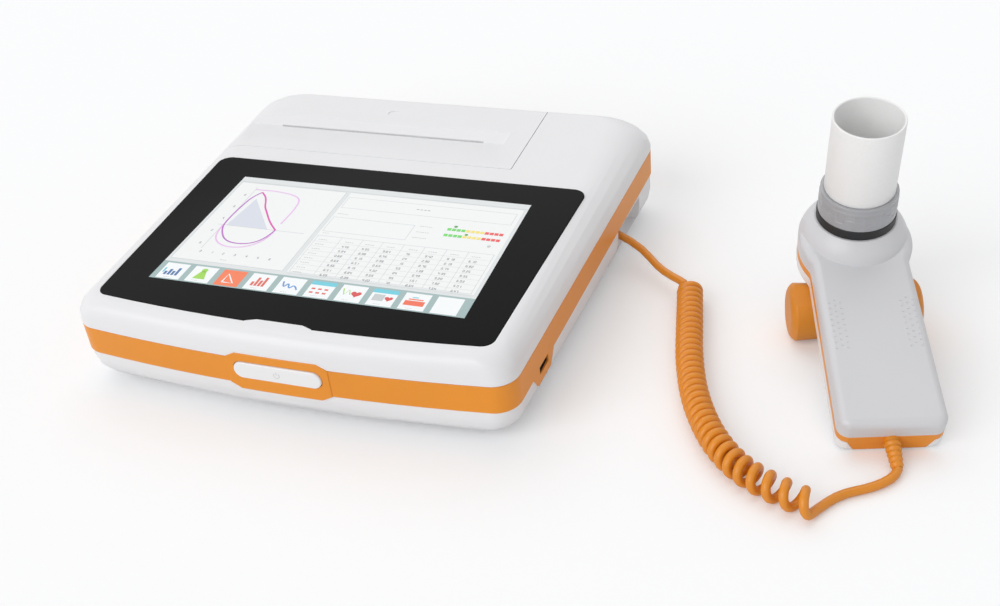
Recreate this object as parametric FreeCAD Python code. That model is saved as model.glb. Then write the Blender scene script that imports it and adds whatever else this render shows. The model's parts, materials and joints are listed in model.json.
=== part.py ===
"""Desktop spirometer: a wedge-shaped console with a touch screen and a built-in printer,
and a corded handset that carries a turbine and a mouthpiece.

Millimetres, +Z up, +Y to the rear. The origin is on the floor, in the middle of the
console and the handset together.
"""
import FreeCAD, Part
import math
import os

Vec = FreeCAD.Vector

# Console, seen from above: straight sides that narrow to a bowed front
console_depth = 217.2
front_half_width = 103.6
rear_half_width = 113.6
front_bow_radius = 860.0
front_corner_radius = 11.5
rear_corner_radius = 12.0
console_x = -77.8
screen_tilt = 1.5
rear_height = 51.0

# Console, seen from the side: heights below the screen plane
side_round_width = 9.0
rear_side_round_width = 24.0
side_round_height = 11.0
front_round_width = 7.0
front_round_height = 8.0
rear_round_width = 3.0
rear_round_height = 3.5
band_top = -13.1
band_height = 13.9
wall = 2.4
band_wall = 2.2
seam = 0.3

# Lower cover and feet
foot_height = 3.0
foot_radius = 7.0
front_foot_x = 68.0
front_foot_inset = 42.6
rear_feet_x = (-88.0, 82.0)
rear_foot_inset = 24.6
sole_round_width = 10.0
sole_round_height = 12.0
lower_inset = 0.5

# Touch glass and display
glass_thickness = 1.6
glass_front_half_width = 93.4
glass_rear_half_width = 98.6
glass_front_margin = 9.3
glass_rear_y = 31.1
glass_corner_radius = 6.0
glass_gap = 0.15
notch_half_width = 15.8
notch_depth = 2.2
notch_slope = 5.0
display_width = 164.0
display_depth = 103.0
display_thickness = 4.6
display_inset = 76.0
bracket_thickness = 1.2
bracket_margin = 5.0
standoff_length = 6.0
board_thickness = 1.6
board_width = 150.0
board_depth = 92.0

# Printer lid with its tear-off recess
lid_right_x = 56.0
lid_depth = 64.7
lid_side_height = 8.5
lid_gap = 0.4
recess_left_x = -125.0
recess_right_x = 43.7
recess_front_inset = 59.1
recess_slot_inset = 33.5
recess_rear_inset = 26.2
recess_depth = 4.0
press_mark_x = -27.0
press_mark_inset = 17.0
press_mark_radius = 3.0
slot_left_x = -87.0
slot_right_x = 30.0
slot_width = 1.4
hinge_pin_radius = 1.0
hinge_barrel_radius = 2.3
hinge_inset = 3.0
hinge_side_inset = 24.2
knuckle_length = 18.0
knuckle_gap = 0.4
running_gap = 0.05
hinge_notch = 4.5

# Printer mechanism
paper_width = 112.0
paper_centre_x = -24.0
roll_radius = 14.0
core_radius = 6.5
core_bore = 5.0
roll_inset = 21.2
roll_depth = 24.0
bin_gap = 0.3
bin_wall = 1.4
platen_radius = 4.4
platen_shaft_radius = 2.0
platen_inset = 45.8
platen_depth = 14.5
cheek_thickness = 1.5
head_thickness = 1.0
sink_thickness = 2.6
head_height = 12.0
nip_gap = 0.3
gear_module = 0.8
platen_teeth = 18
pinion_teeth = 10
gear_width = 3.0
motor_radius = 6.2
motor_length = 20.0
motor_shaft_radius = 1.0
motor_angle = 216.0

# Power button in its hexagonal surround
button_x = 0.9
button_z = -18.9
button_width = 41.6
button_height = 8.4
button_travel = 1.0
button_gap = 0.2
button_proud = 0.6
surround_half_width = 24.2
surround_flat_half = 19.3
surround_rise = 2.6
surround_proud = 0.4

# Data socket on the right flank, and the pocket for the sensor cord behind it
port_y = -67.0
port_length = 10.6
port_height = 3.8
port_z = -27.6
port_gap = 0.3
port_sheet = 0.3
port_half_length = 7.5
port_slope = 5.0
port_drop = 6.8
pocket_front_inset = 67.0
pocket_rear_inset = 30.6
pocket_low = 8.0
pocket_high = 21.4
pocket_depth = 7.0
plug_inset = 61.2
plug_z = 16.8
plug_width = 11.0
plug_height = 8.0
plug_gap = 0.2

# Battery, loudspeaker, power socket, screws
battery_size = (70.0, 38.0, 17.0)
battery_place = (-148.0, -53.0)
door_margin = 4.0
door_gap = 0.3
speaker_radius = 14.0
speaker_height = 7.0
speaker_place = (-18.0, -38.0)
power_socket_x = -20.0
power_socket_z = 17.5
power_socket_radius = 3.0
power_nose_wall = 1.2
power_pin_radius = 1.0
screw_radius = 1.5
screw_head_radius = 2.8
boss_radius = 4.2
boss_top = 20.0
screw_gap = 0.05
front_screw_x = 92.0
front_screw_inset = 28.6
middle_screw_x = 92.0
middle_screw_gap = 9.9
rear_screw_x = 93.0
rear_screw_inset = 16.6

# Handset in its own frame: x to the head, z out of its top, origin at the heel
handset_pitch = 18.0
handset_yaw = 16.5
handset_x = 170.1
handset_y = -65.6
handle_near_width = 42.4
handle_neck_width = 40.8
handset_thickness = 19.2
handset_wall = 1.8
near_corner_radius = 5.0
heel_radius = 3.0
handset_top_radius = 3.5
handset_band_low = 7.0
handset_band_high = 10.6
handset_board_low = 8.4
handset_board_thickness = 1.2
handset_screw_near = 12.0
handset_screw_far = 66.0
handset_screw_side = 13.0
head_radius = 24.0
head_x = 96.5
neck_fillet = 9.0
tail_half_width = 17.0
tail_low_half_width = 14.2
tail_low = 1.6

# Turbine axis, tilted to the head end
turbine_tilt = 8.0
collar_x = 103.5
collar_z = 25.0
collar_radius = 17.6
collar_drop = 6.0
turbine_radius = 16.6
turbine_bore = 13.9
turbine_ring_top = 15.8
turbine_depth = 20.0
turbine_gap = 0.1
seal_height = 4.5
seal_radius = 16.9
mouthpiece_radius = 14.9
mouthpiece_wall = 1.0
mouthpiece_top = 51.8
mouthpiece_seat = 5.7
mouthpiece_gap = 0.08
mouthpiece_step = 0.35
mouthpiece_clearance = 0.3
swirler_hub = 3.2
swirler_height = 4.0
swirler_blades = 6
blade_thickness = 0.6
axle_radius = 0.6
rotor_half_width = 10.5
rotor_height = 7.0
rotor_thickness = 0.5
rotor_hub = 1.3
rotor_gap = 0.4
sensor_radius = 2.5
sensor_gap = 0.1

# Orange rest under the head end
rest_x = 80.0
rest_radius = 13.0
rest_half_length = 28.5
rest_end_round = 2.5
rest_waist = 0.9
outlet_clearance = 1.2

# Curly cord
cord_radius = 1.9
coil_radius = 6.2
relief_height = 8.0
relief_length = 13.0
relief_base_radius = 3.6
relief_tip_radius = 2.5
relief_ribs = 4

# Places that follow the console's front or rear edge
rear_edge = console_depth / 2
display_y = display_inset - rear_edge
lid_front_y = rear_edge - lid_depth
recess_front_y = rear_edge - recess_front_inset
recess_slot_y = rear_edge - recess_slot_inset
recess_rear_y = rear_edge - recess_rear_inset
press_mark_y = rear_edge - press_mark_inset
hinge_y = rear_edge - hinge_inset
roll_y = rear_edge - roll_inset
platen_y = rear_edge - platen_inset
pocket_front_y = rear_edge - pocket_front_inset
pocket_rear_y = rear_edge - pocket_rear_inset
plug_y = rear_edge - plug_inset


def box(x0, x1, y0, y1, z0, z1):
    """A block between two corners."""
    return Part.makeBox(x1 - x0, y1 - y0, z1 - z0, Vec(x0, y0, z0))


def rod(radius, start, end):
    """A solid cylinder from one point to another."""
    axis = Vec(*end) - Vec(*start)
    return Part.makeCylinder(radius, axis.Length, Vec(*start), axis)


def tube(outer, inner, start, end):
    """A hollow cylinder from one point to another."""
    return rod(outer, start, end).cut(rod(inner, start, end))


def polygon_prism(points, direction):
    """A prism with the given corner points, pushed along a direction."""
    corners = [Vec(*p) for p in points]
    outline = Part.makePolygon(corners + [corners[0]])
    return Part.Face(outline).extrude(Vec(*direction))


def fused(shapes):
    """One solid from several that touch."""
    first = shapes[0]
    return first.fuse(shapes[1:]).removeSplitter()


def on_console(shape):
    """Moves a piece from the console's frame, where the screen plane is z = 0, to the floor's."""
    placed = shape.copy()
    placed.rotate(Vec(0, 0, 0), Vec(1, 0, 0), screen_tilt)
    lift = rear_height - console_depth / 2 * math.sin(math.radians(screen_tilt))
    placed.translate(Vec(console_x, 0, lift))
    return placed


def console_point(x, y, z):
    """The floor frame's coordinates of a point in the console's frame."""
    point = on_console(Part.Vertex(x, y, z)).Point
    return (point.x, point.y, point.z)


def on_handset(shape):
    """Moves a piece from the handset's own frame to where it lies beside the console."""
    placed = shape.copy()
    placed.rotate(Vec(0, 0, 0), Vec(0, 1, 0), -handset_pitch)
    placed.rotate(Vec(0, 0, 0), Vec(0, 0, 1), 90 + handset_yaw)
    placed.translate(Vec(handset_x, handset_y, heel_lift()))
    return placed


def handset_point(x, y, z):
    """The floor frame's coordinates of a point in the handset's frame."""
    point = on_handset(Part.Vertex(x, y, z)).Point
    return (point.x, point.y, point.z)


def heel_lift():
    """Brings the rounded heel down onto the floor."""
    pitch = math.radians(handset_pitch)
    return heel_radius * (1 - math.cos(pitch) - math.sin(pitch))


def plan_wire(z, side_in, front_in, rear_in, rear_side_in=None, corners=None):
    """The console's outline from above, drawn in by its margins."""
    if rear_side_in is None:
        rear_side_in = side_in
    if corners is None:
        front_radius = front_corner_radius + min(side_in, front_in) / 2
        rear_radius = rear_corner_radius - min(side_in, rear_in) / 2
    else:
        front_radius = rear_radius = corners
    rear_half = rear_half_width - rear_side_in
    front_half = front_half_width - side_in
    slope = (rear_half - front_half) / console_depth
    stretch = math.hypot(1, slope)
    middle = (rear_half + front_half) / 2
    rear_y = console_depth / 2 - rear_in
    bow_y = front_bow_radius - console_depth / 2
    bow = front_bow_radius - front_in

    # Centre of the front corner: a circle that touches the side line and the bow
    reach = bow - front_radius
    start = middle - front_radius * stretch
    a = 1 + slope ** 2
    b = 2 * (start * slope - bow_y)
    c = start ** 2 + bow_y ** 2 - reach ** 2
    front_y = (-b - math.sqrt(b ** 2 - 4 * a * c)) / (2 * a)
    front_centre = Vec(start + slope * front_y, front_y, z)
    outward = Vec(1 / stretch, -slope / stretch, 0)
    side_front = front_centre + outward * front_radius
    to_bow = (front_centre - Vec(0, bow_y, z)).normalize()
    bow_end = Vec(0, bow_y, z) + to_bow * bow
    front_middle = front_centre + (outward + to_bow).normalize() * front_radius

    # Centre of the rear corner: a circle that touches the side line and the rear line
    rear_centre_y = rear_y - rear_radius
    rear_centre = Vec(middle - rear_radius * stretch + slope * rear_centre_y, rear_centre_y, z)
    side_rear = rear_centre + outward * rear_radius
    rear_end = Vec(rear_centre.x, rear_y, z)
    rear_middle = rear_centre + (outward + Vec(0, 1, 0)).normalize() * rear_radius

    def mirrored(point):
        return Vec(-point.x, point.y, point.z)

    edges = [
        Part.LineSegment(side_front, side_rear),
        Part.Arc(side_rear, rear_middle, rear_end),
        Part.LineSegment(rear_end, mirrored(rear_end)),
        Part.Arc(mirrored(rear_end), mirrored(rear_middle), mirrored(side_rear)),
        Part.LineSegment(mirrored(side_rear), mirrored(side_front)),
        Part.Arc(mirrored(side_front), mirrored(front_middle), mirrored(bow_end)),
        Part.Arc(mirrored(bow_end), Vec(0, front_in - console_depth / 2, z), bow_end),
        Part.Arc(bow_end, front_middle, side_front),
    ]
    return Part.Wire([edge.toShape() for edge in edges])


def round_in(width, height, below_top):
    """How far a quarter-ellipse edge is drawn in at a depth below its top."""
    if below_top >= height:
        return 0.0
    rise = (height - below_top) / height
    return width * (1 - math.sqrt(1 - rise ** 2))


def half_width_at(y):
    """Half the console's width at a distance behind or before its middle."""
    slope = (rear_half_width - front_half_width) / console_depth
    return front_half_width + slope * (y + console_depth / 2)


def console_crown(skin):
    """The space inside the top cover's outer face, or inside its wall when skin is the wall."""
    low = band_top - 1 if skin else band_top
    wires = [plan_wire(low, skin, skin, skin)]
    for angle in (0, 20, 40, 56, 68, 77, 84, 90):
        below_top = side_round_height * (1 - math.sin(math.radians(angle)))
        wires.append(plan_wire(
            -below_top - skin,
            skin + round_in(side_round_width, side_round_height, below_top),
            skin + round_in(front_round_width, front_round_height, below_top),
            skin + round_in(rear_round_width, rear_round_height, below_top),
            skin + round_in(rear_side_round_width, side_round_height, below_top)))
    return Part.makeLoft(wires, True, True)


def lid_zone(gap):
    """The block of the console that the printer lid takes up, less a gap all round."""
    return box(-2 * rear_half_width, lid_right_x - gap, lid_front_y + gap, console_depth,
               gap - lid_side_height, 10)


def recess_wedge(skin):
    """The tear-off recess: a long gentle floor down to the slot, and a steeper face behind it."""
    floor = -recess_depth - skin
    points = [
        (recess_left_x - skin, recess_front_y - 2 * skin, 1),
        (recess_left_x - skin, recess_slot_y, floor),
        (recess_left_x - skin, recess_rear_y + 2 * skin, 1),
    ]
    return polygon_prism(points, (recess_right_x - recess_left_x + 2 * skin, 0, 0))


def hinge_spans():
    """Start and end of each hinge knuckle along the rear edge, from left to right."""
    first = hinge_side_inset - rear_half_width
    last = lid_right_x - 4
    count = int((last - first) // knuckle_length)
    return [(first + i * knuckle_length, first + (i + 1) * knuckle_length) for i in range(count)]


def knuckles(which):
    """The hinge barrels of the cover (which = 0) or of the lid (which = 1)."""
    shapes = []
    for number, (start, end) in enumerate(hinge_spans()):
        if number % 2 != which:
            continue
        inner = start + knuckle_gap / 2
        outer = end - knuckle_gap / 2
        shapes.append(rod(hinge_barrel_radius, (inner, hinge_y, -lid_side_height),
                          (outer, hinge_y, -lid_side_height)))
    return shapes


def hinge_bore():
    """The hole for the hinge pin through every knuckle."""
    spans = hinge_spans()
    return rod(hinge_pin_radius + running_gap, (spans[0][0] - 1, hinge_y, -lid_side_height),
               (spans[-1][1] + 1, hinge_y, -lid_side_height))


def glass_wire(z, gap):
    """The touch glass seen from above."""
    slope = (glass_rear_half_width - glass_front_half_width) / (
        glass_rear_y + console_depth / 2 - glass_front_margin)
    at_rear = glass_rear_half_width + slope * (console_depth / 2 - glass_rear_y)
    at_front = glass_front_half_width - slope * glass_front_margin
    return plan_wire(z, front_half_width - at_front - gap, glass_front_margin - gap,
                     console_depth / 2 - glass_rear_y - gap, rear_half_width - at_rear - gap,
                     glass_corner_radius + gap)


def glass_notch(gap):
    """The shallow six-sided tab of the cover that reaches into the front edge of the glass."""
    edge = glass_front_margin - console_depth / 2
    half = notch_half_width - gap
    points = [
        (-half, edge - 3, -glass_thickness),
        (-half, edge + 0.3 - gap, -glass_thickness),
        (notch_slope - half, edge + notch_depth - gap, -glass_thickness),
        (half - notch_slope, edge + notch_depth - gap, -glass_thickness),
        (half, edge + 0.3 - gap, -glass_thickness),
        (half, edge - 3, -glass_thickness),
    ]
    return polygon_prism(points, (0, 0, glass_thickness))


def touch_glass():
    plate = Part.Face(glass_wire(-glass_thickness, 0)).extrude(Vec(0, 0, glass_thickness))
    return plate.cut(glass_notch(-glass_gap))


def surround_prism(thickness_in, thickness_out):
    """The hexagonal plate round the power button, from inside the front wall to outside it."""
    front = -console_depth / 2
    low = band_top - band_height
    points = []
    for x, z in ((-surround_half_width, band_top), (-surround_flat_half, band_top + surround_rise),
                 (surround_flat_half, band_top + surround_rise), (surround_half_width, band_top),
                 (surround_half_width, low), (surround_flat_half, low - surround_rise),
                 (-surround_flat_half, low - surround_rise), (-surround_half_width, low)):
        points.append((button_x + x, front - thickness_out, z))
    return polygon_prism(points, (0, thickness_in + thickness_out, 0))


def port_skirt():
    """The part of the band that dips round the data socket on the right flank."""
    low = band_top - band_height
    points = []
    wide = port_half_length + port_slope
    for y, z in ((-wide, low + 1), (-wide, low), (-port_half_length, low - port_drop),
                 (port_half_length, low - port_drop), (wide, low), (wide, low + 1)):
        points.append((half_width_at(port_y) - 6, port_y + y, z))
    return polygon_prism(points, (12, 0, 0))


def case_screw_places():
    """Where the five case screws stand, in the floor frame."""
    front_y = front_screw_inset - rear_edge
    middle_y = lid_front_y - middle_screw_gap
    places = [(-front_screw_x, front_y), (front_screw_x, front_y), (-middle_screw_x, middle_y),
              (middle_screw_x, middle_y), (rear_screw_x, rear_edge - rear_screw_inset)]
    return [(console_x + x, y) for x, y in places]


def screen_height(y, below):
    """Floor height of a level below the screen plane, at a distance from the front."""
    return console_point(0, y, -below)[2]


def top_cover():
    crown = console_crown(0)
    shell = crown.cut(console_crown(wall))
    shell = shell.cut(Part.Face(glass_wire(-glass_thickness, glass_gap)).extrude(
        Vec(0, 0, glass_thickness + 1)).cut(glass_notch(0)))
    window = box(-display_width / 2 - 0.6, display_width / 2 + 0.6,
                 display_y - display_depth / 2 - 0.6, display_y + display_depth / 2 + 0.6,
                 -wall - 1, 1)
    shell = shell.cut(window)
    rear_relief = box(-2 * rear_half_width, lid_right_x - 0.01, hinge_y - 3.2,
                      console_depth, -lid_side_height - hinge_barrel_radius - 1.0, 10)
    shell = shell.cut(lid_zone(0))
    webs = []
    for number, (start, end) in enumerate(hinge_spans()):
        if number % 2 == 0:
            webs.append(box(start + knuckle_gap / 2, end - knuckle_gap / 2, hinge_y - 1.4,
                            console_depth / 2 - 0.4, band_top + 0.4, -lid_side_height))
    shell = shell.cut(rear_relief)
    shell = shell.fuse(webs + knuckles(0)).cut(hinge_bore())
    shell = shell.cut(surround_prism(2 * wall, 2))
    ears = []
    for sx in (-1, 1):
        for sy in (-1, 1):
            x = sx * (display_width / 2 + bracket_margin - 2)
            y = display_y + sy * (display_depth / 2 + bracket_margin - 2)
            ears.append(rod(2.5, (x, y, -wall - 0.01 - display_thickness), (x, y, -glass_thickness)))
    shell = shell.fuse(ears)
    cover = on_console(shell)
    posts = []
    for x, y in case_screw_places():
        top = screen_height(y, glass_thickness + 0.3)
        posts.append(tube(boss_radius, screw_radius + screw_gap, (x, y, boss_top + seam), (x, y, top)))
    return cover.fuse(posts).removeSplitter()


def printer_lid():
    crown = console_crown(0).cut(recess_wedge(0))
    hollow = console_crown(wall).cut(recess_wedge(wall))
    low_skin = box(-2 * rear_half_width, 2 * rear_half_width, -console_depth, console_depth,
                   -console_depth, band_top + wall)
    lid = crown.cut(hollow).cut(low_skin).common(lid_zone(lid_gap))
    slot = box(slot_left_x, slot_right_x, recess_slot_y - slot_width / 2,
               recess_slot_y + slot_width / 2, -recess_depth - wall - 2, 0)
    lid = lid.cut(slot)
    cover_barrels = []
    for number, (start, end) in enumerate(hinge_spans()):
        if number % 2 == 0:
            cover_barrels.append(box(start - knuckle_gap / 2, end + knuckle_gap / 2,
                                     hinge_y - hinge_barrel_radius - knuckle_gap, console_depth,
                                     -console_depth, hinge_notch - lid_side_height))
    webs = []
    for number, (start, end) in enumerate(hinge_spans()):
        if number % 2 == 1:
            webs.append(box(start + knuckle_gap / 2, end - knuckle_gap / 2, hinge_y - 0.6,
                            hinge_y + 1.6, -lid_side_height, -lid_side_height + 3.4))
    press_mark = rod(press_mark_radius, (press_mark_x, press_mark_y, -0.3),
                     (press_mark_x, press_mark_y, 1))
    lid = lid.cut(cover_barrels).fuse(webs + knuckles(1)).cut(hinge_bore())
    return on_console(lid.cut(press_mark).removeSplitter())


def lid_hinge_pin():
    spans = hinge_spans()
    return on_console(rod(hinge_pin_radius, (spans[0][0] + 0.5, hinge_y, -lid_side_height),
                          (spans[-1][1] - 0.5, hinge_y, -lid_side_height)))


def side_band():
    low = band_top - band_height
    ring = Part.Face(plan_wire(low, 0, 0, 0)).extrude(Vec(0, 0, band_height - seam))
    ring = ring.cut(Part.Face(plan_wire(low, band_wall, band_wall, band_wall)).extrude(
        Vec(0, 0, band_height)))
    tall = Part.Face(plan_wire(low - 10, -surround_proud, -surround_proud, 0)).extrude(
        Vec(0, 0, band_height + 20))
    plate = surround_prism(band_wall + 1, 3).common(tall)
    drop = Part.Face(plan_wire(low - 10, 0, 0, 0)).extrude(Vec(0, 0, 12))
    drop = drop.cut(Part.Face(plan_wire(low - 10, band_wall, band_wall, band_wall)).extrude(
        Vec(0, 0, 12)))
    band = ring.fuse([plate, port_skirt().common(drop)])
    band = band.cut(button_prism(button_gap, 6))
    half = port_length / 2
    socket = box(front_half_width - 10, front_half_width + 10, port_y - half, port_y + half,
                 port_z - port_height / 2, port_z + port_height / 2)
    return on_console(band.cut(socket).removeSplitter())


def button_prism(gap, reach):
    """The pill-shaped bar of the power button, across the front wall."""
    front = -console_depth / 2
    middle = button_z
    radius = button_height / 2 + gap
    half = button_width / 2 - button_height / 2
    y0 = front - surround_proud - button_proud
    left = rod(radius, (button_x - half, y0, middle), (button_x - half, y0 + reach, middle))
    right = rod(radius, (button_x + half, y0, middle), (button_x + half, y0 + reach, middle))
    bar = box(button_x - half, button_x + half, y0, y0 + reach, middle - radius, middle + radius)
    return fused([left, right, bar])


def power_button():
    reach = surround_proud + button_proud + band_wall + 0.5
    bar = button_prism(0, reach)
    front = min(bar.Edges, key=lambda edge: edge.CenterOfMass.y).CenterOfMass.y
    rim = [edge for edge in bar.Edges if abs(edge.CenterOfMass.y - front) < 0.01]
    bar = bar.makeFillet(0.8, rim)
    middle = button_z
    inside = -console_depth / 2 + band_wall + 1.2
    flange = box(button_x - button_width / 2 + 4, button_x + button_width / 2 - 4,
                 inside, inside + 1.2, middle - button_height / 2 - 1, middle + button_height / 2 + 1)
    stem = rod(1.5, (button_x, inside - 1.0, middle), (button_x, inside + 2.4, middle))
    return on_console(fused([bar, flange, stem]))


def button_board():
    """A small board with the switch that the power button presses."""
    middle = button_z
    inside = -console_depth / 2 + band_wall + 1.2
    face = inside + 2.4 + button_travel + 0.3
    switch = box(button_x - 3, button_x + 3, face, face + 2.4, middle - 3, middle + 3)
    plate = box(button_x - 16, button_x + 16, face + 2.4, face + 3.8, button_z - 5, -10)
    arms = [box(button_x + sx * 14 - 2, button_x + sx * 14 + 2, face + 2.4, face + 3.8, -12, -wall)
            for sx in (-1, 1)]
    return on_console(fused([plate, switch] + arms))


def display_panel():
    top = -glass_thickness - 0.15
    body = box(-display_width / 2, display_width / 2, display_y - display_depth / 2,
               display_y + display_depth / 2, top - display_thickness, top)
    return on_console(body)


def display_bracket():
    """A sheet frame under the display, with standoffs that carry the main board."""
    top = -wall - 0.01 - display_thickness
    wide = display_width / 2 + bracket_margin
    deep = display_depth / 2 + bracket_margin
    plate = box(-wide, wide, display_y - deep, display_y + deep, top - bracket_thickness, top)
    hole = box(-wide + 22, wide - 22, display_y - deep + 20, display_y + deep - 20,
               top - 3, top + 1)
    plate = plate.cut(hole)
    legs = []
    for x, y in board_corners():
        legs.append(rod(2.6, (x, y, top - bracket_thickness - standoff_length), (x, y, top - 0.5)))
    return on_console(fused([plate] + legs))


def board_corners():
    """The four fixing points of the main board."""
    return [(sx * (board_width / 2 - 5), display_y + sy * (board_depth / 2 - 5))
            for sx in (-1, 1) for sy in (-1, 1)]


def main_board():
    top = -wall - 0.01 - display_thickness - bracket_thickness - standoff_length
    low = top - board_thickness
    plate = box(-board_width / 2, board_width / 2, display_y - board_depth / 2,
                display_y + board_depth / 2, low, top)
    pieces = [plate]
    for x, y, length, depth, height in ((-30, 5, 16, 16, 1.4), (-5, 12, 12, 9, 1.2),
                                        (20, -10, 10, 10, 1.4), (48, 14, 8, 20, 4.0),
                                        (-58, -16, 9, 22, 4.0), (50, -22, 14, 8, 3.0)):
        pieces.append(box(x - length / 2, x + length / 2, display_y + y - depth / 2,
                          display_y + y + depth / 2, low - height, low))
    return on_console(fused(pieces))


def gear(teeth, width, bore, x, y, z, turn):
    """A spur gear across the printer, with straight-flanked teeth."""
    pitch_radius = gear_module * teeth / 2
    outer = pitch_radius + 0.9 * gear_module
    root = pitch_radius - 1.2 * gear_module
    step = 2 * math.pi / teeth
    points = []
    for i in range(teeth):
        middle = turn + i * step
        for radius, share in ((root, -0.34), (outer, -0.13), (outer, 0.13), (root, 0.34)):
            angle = middle + share * step
            points.append((x, y + radius * math.cos(angle), z + radius * math.sin(angle)))
    wheel = polygon_prism(points, (width, 0, 0))
    return wheel.cut(rod(bore, (x - 1, y, z), (x + width + 1, y, z)))


def platen_ends():
    """Left and right ends of the paper path."""
    half = paper_width / 2 + 1.0
    return paper_centre_x - half, paper_centre_x + half


def platen_roller():
    left, right = platen_ends()
    rubber = rod(platen_radius, (left, platen_y, -platen_depth), (right, platen_y, -platen_depth))
    shaft = rod(platen_shaft_radius, (left - cheek_thickness - 2, platen_y, -platen_depth),
                (right + cheek_thickness + gear_width + 2, platen_y, -platen_depth))
    return on_console(fused([rubber, shaft]))


def gear_face_x():
    """Where the gears start, just outside the right cheek of the printer frame."""
    return platen_ends()[1] + 0.3 + cheek_thickness + 0.7


def platen_gear():
    return on_console(gear(platen_teeth, gear_width, platen_shaft_radius, gear_face_x(),
                           platen_y, -platen_depth, math.radians(motor_angle)))


def motor_place():
    """Axis of the feed motor: the two pitch circles touch."""
    distance = gear_module * (platen_teeth + pinion_teeth) / 2
    angle = math.radians(motor_angle)
    return platen_y + distance * math.cos(angle), -platen_depth + distance * math.sin(angle)


def motor_pinion():
    y, z = motor_place()
    turn = math.radians(motor_angle) + math.pi + math.pi / pinion_teeth
    wheel = gear(pinion_teeth, gear_width, motor_shaft_radius, gear_face_x(), y, z, turn)
    shaft = rod(motor_shaft_radius, (gear_face_x() - cheek_thickness - 1.4, y, z),
                (gear_face_x() + gear_width, y, z))
    return on_console(fused([wheel, shaft]))


def feed_motor():
    y, z = motor_place()
    face = gear_face_x() - 0.7 - cheek_thickness
    can = rod(motor_radius, (face - motor_length, y, z), (face, y, z))
    bore = rod(motor_shaft_radius + running_gap, (face - 3, y, z), (face + 1, y, z))
    return on_console(can.cut(bore))


def printer_frame():
    """A tray with two cheeks that carry the platen, the motor and the print head."""
    left, right = platen_ends()
    gap = 0.3
    floor = -roll_depth - roll_radius - bin_gap - bin_wall - 0.2
    y0 = motor_place()[0] - motor_radius - 1
    y1 = roll_y + roll_radius + bin_gap + bin_wall
    cheeks = []
    for x in (left - gap - cheek_thickness, right + gap):
        plate = box(x, x + cheek_thickness, y0, y1, floor, -8.5)
        plate = plate.cut(box(x - 1, x + cheek_thickness + 1, platen_y + platen_radius + 4, y1 + 1,
                              -16, 0))
        cheeks.append(plate)
    base = box(left - gap - cheek_thickness, right + gap + cheek_thickness, y0, y1,
               floor - 1.5, floor)
    frame = fused(cheeks + [base])
    reach = 2 * rear_half_width
    frame = frame.cut(box(-reach, reach, y1 - 3.5, y1 + 1, floor - 2, floor + 5))
    frame = frame.cut(rod(platen_shaft_radius + running_gap, (-reach, platen_y, -platen_depth),
                          (reach, platen_y, -platen_depth)))
    y, z = motor_place()
    frame = frame.cut(rod(motor_shaft_radius + 1, (right, y, z), (reach, y, z)))
    return on_console(frame)


def print_head():
    """The thermal line: a ceramic strip on its heat sink, against the back of the platen."""
    left, right = platen_ends()
    y = platen_y + platen_radius + nip_gap
    strip = box(left, right, y, y + head_thickness, -platen_depth - head_height / 2,
                -platen_depth + head_height / 2 - 1)
    sink = box(left, right, y + head_thickness, y + head_thickness + sink_thickness,
               -platen_depth - head_height / 2 - 2, -platen_depth + head_height / 2 - 2)
    fins = []
    for i in range(8):
        x = left + 6 + i * (right - left - 14) / 7
        fins.append(box(x, x + 2, y + head_thickness, y + head_thickness + sink_thickness,
                        -roll_depth - 2, -platen_depth - head_height / 2 - 2))
    pins = [rod(1.5, (left - 0.3, y + 2.3, -platen_depth - 2), (left + 1, y + 2.3, -platen_depth - 2)),
            rod(1.5, (right - 1, y + 2.3, -platen_depth - 2), (right + 0.3, y + 2.3, -platen_depth - 2))]
    return on_console(fused([strip, sink] + fins + pins))


def paper_bin():
    """A half-round trough that the paper roll drops into."""
    left, right = platen_ends()
    inner = roll_radius + bin_gap
    outer = inner + bin_wall
    z = -roll_depth
    trough = rod(outer, (left, roll_y, z), (right, roll_y, z))
    trough = trough.fuse(box(left, right, roll_y - outer, roll_y + outer, z, z + 9))
    trough = trough.cut(rod(inner, (left + 1, roll_y, z), (right - 1, roll_y, z)))
    trough = trough.cut(box(left + 1, right - 1, roll_y - inner, roll_y + inner, z, z + 20))
    trough = trough.cut(box(left - 1, right + 1, roll_y - outer - 1, roll_y - inner + 2, z + 1, z + 20))
    feet = box(left, right, roll_y - 5, roll_y + 5, z - outer - 0.2, z - inner - 0.4)
    return on_console(trough.fuse(feet).removeSplitter())


def paper_roll():
    half = paper_width / 2
    return on_console(tube(roll_radius, core_radius, (paper_centre_x - half, roll_y, -roll_depth),
                           (paper_centre_x + half, roll_y, -roll_depth)))


def paper_core():
    half = paper_width / 2
    return on_console(tube(core_radius, core_bore, (paper_centre_x - half, roll_y, -roll_depth),
                           (paper_centre_x + half, roll_y, -roll_depth)))


def level_wire(z, inset):
    """The lower cover's outline at a floor height."""
    wire = plan_wire(0, inset, inset, inset)
    slide = -(band_top - band_height) * math.sin(math.radians(screen_tilt))
    wire.translate(Vec(console_x, slide, z))
    return wire


def lower_hull(skin):
    """The space inside the lower cover's outer face, or inside its wall when skin is the wall."""
    rise = 1.0 if skin else 0.0
    inset = lower_inset + skin
    brim = on_console(plan_wire(band_top - band_height - seam + rise, inset, inset, inset))
    turn = foot_height + skin + sole_round_height
    upper = Part.makeLoft([brim, level_wire(turn, inset)], True, True)
    wires = []
    for angle in (0, 25, 48, 66, 80, 90):
        above_sole = sole_round_height * (1 - math.sin(math.radians(angle)))
        drawn = round_in(sole_round_width, sole_round_height, above_sole)
        wires.append(level_wire(foot_height + skin + above_sole, inset + drawn))
    return upper.fuse(Part.makeLoft(wires, True, True))


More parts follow.
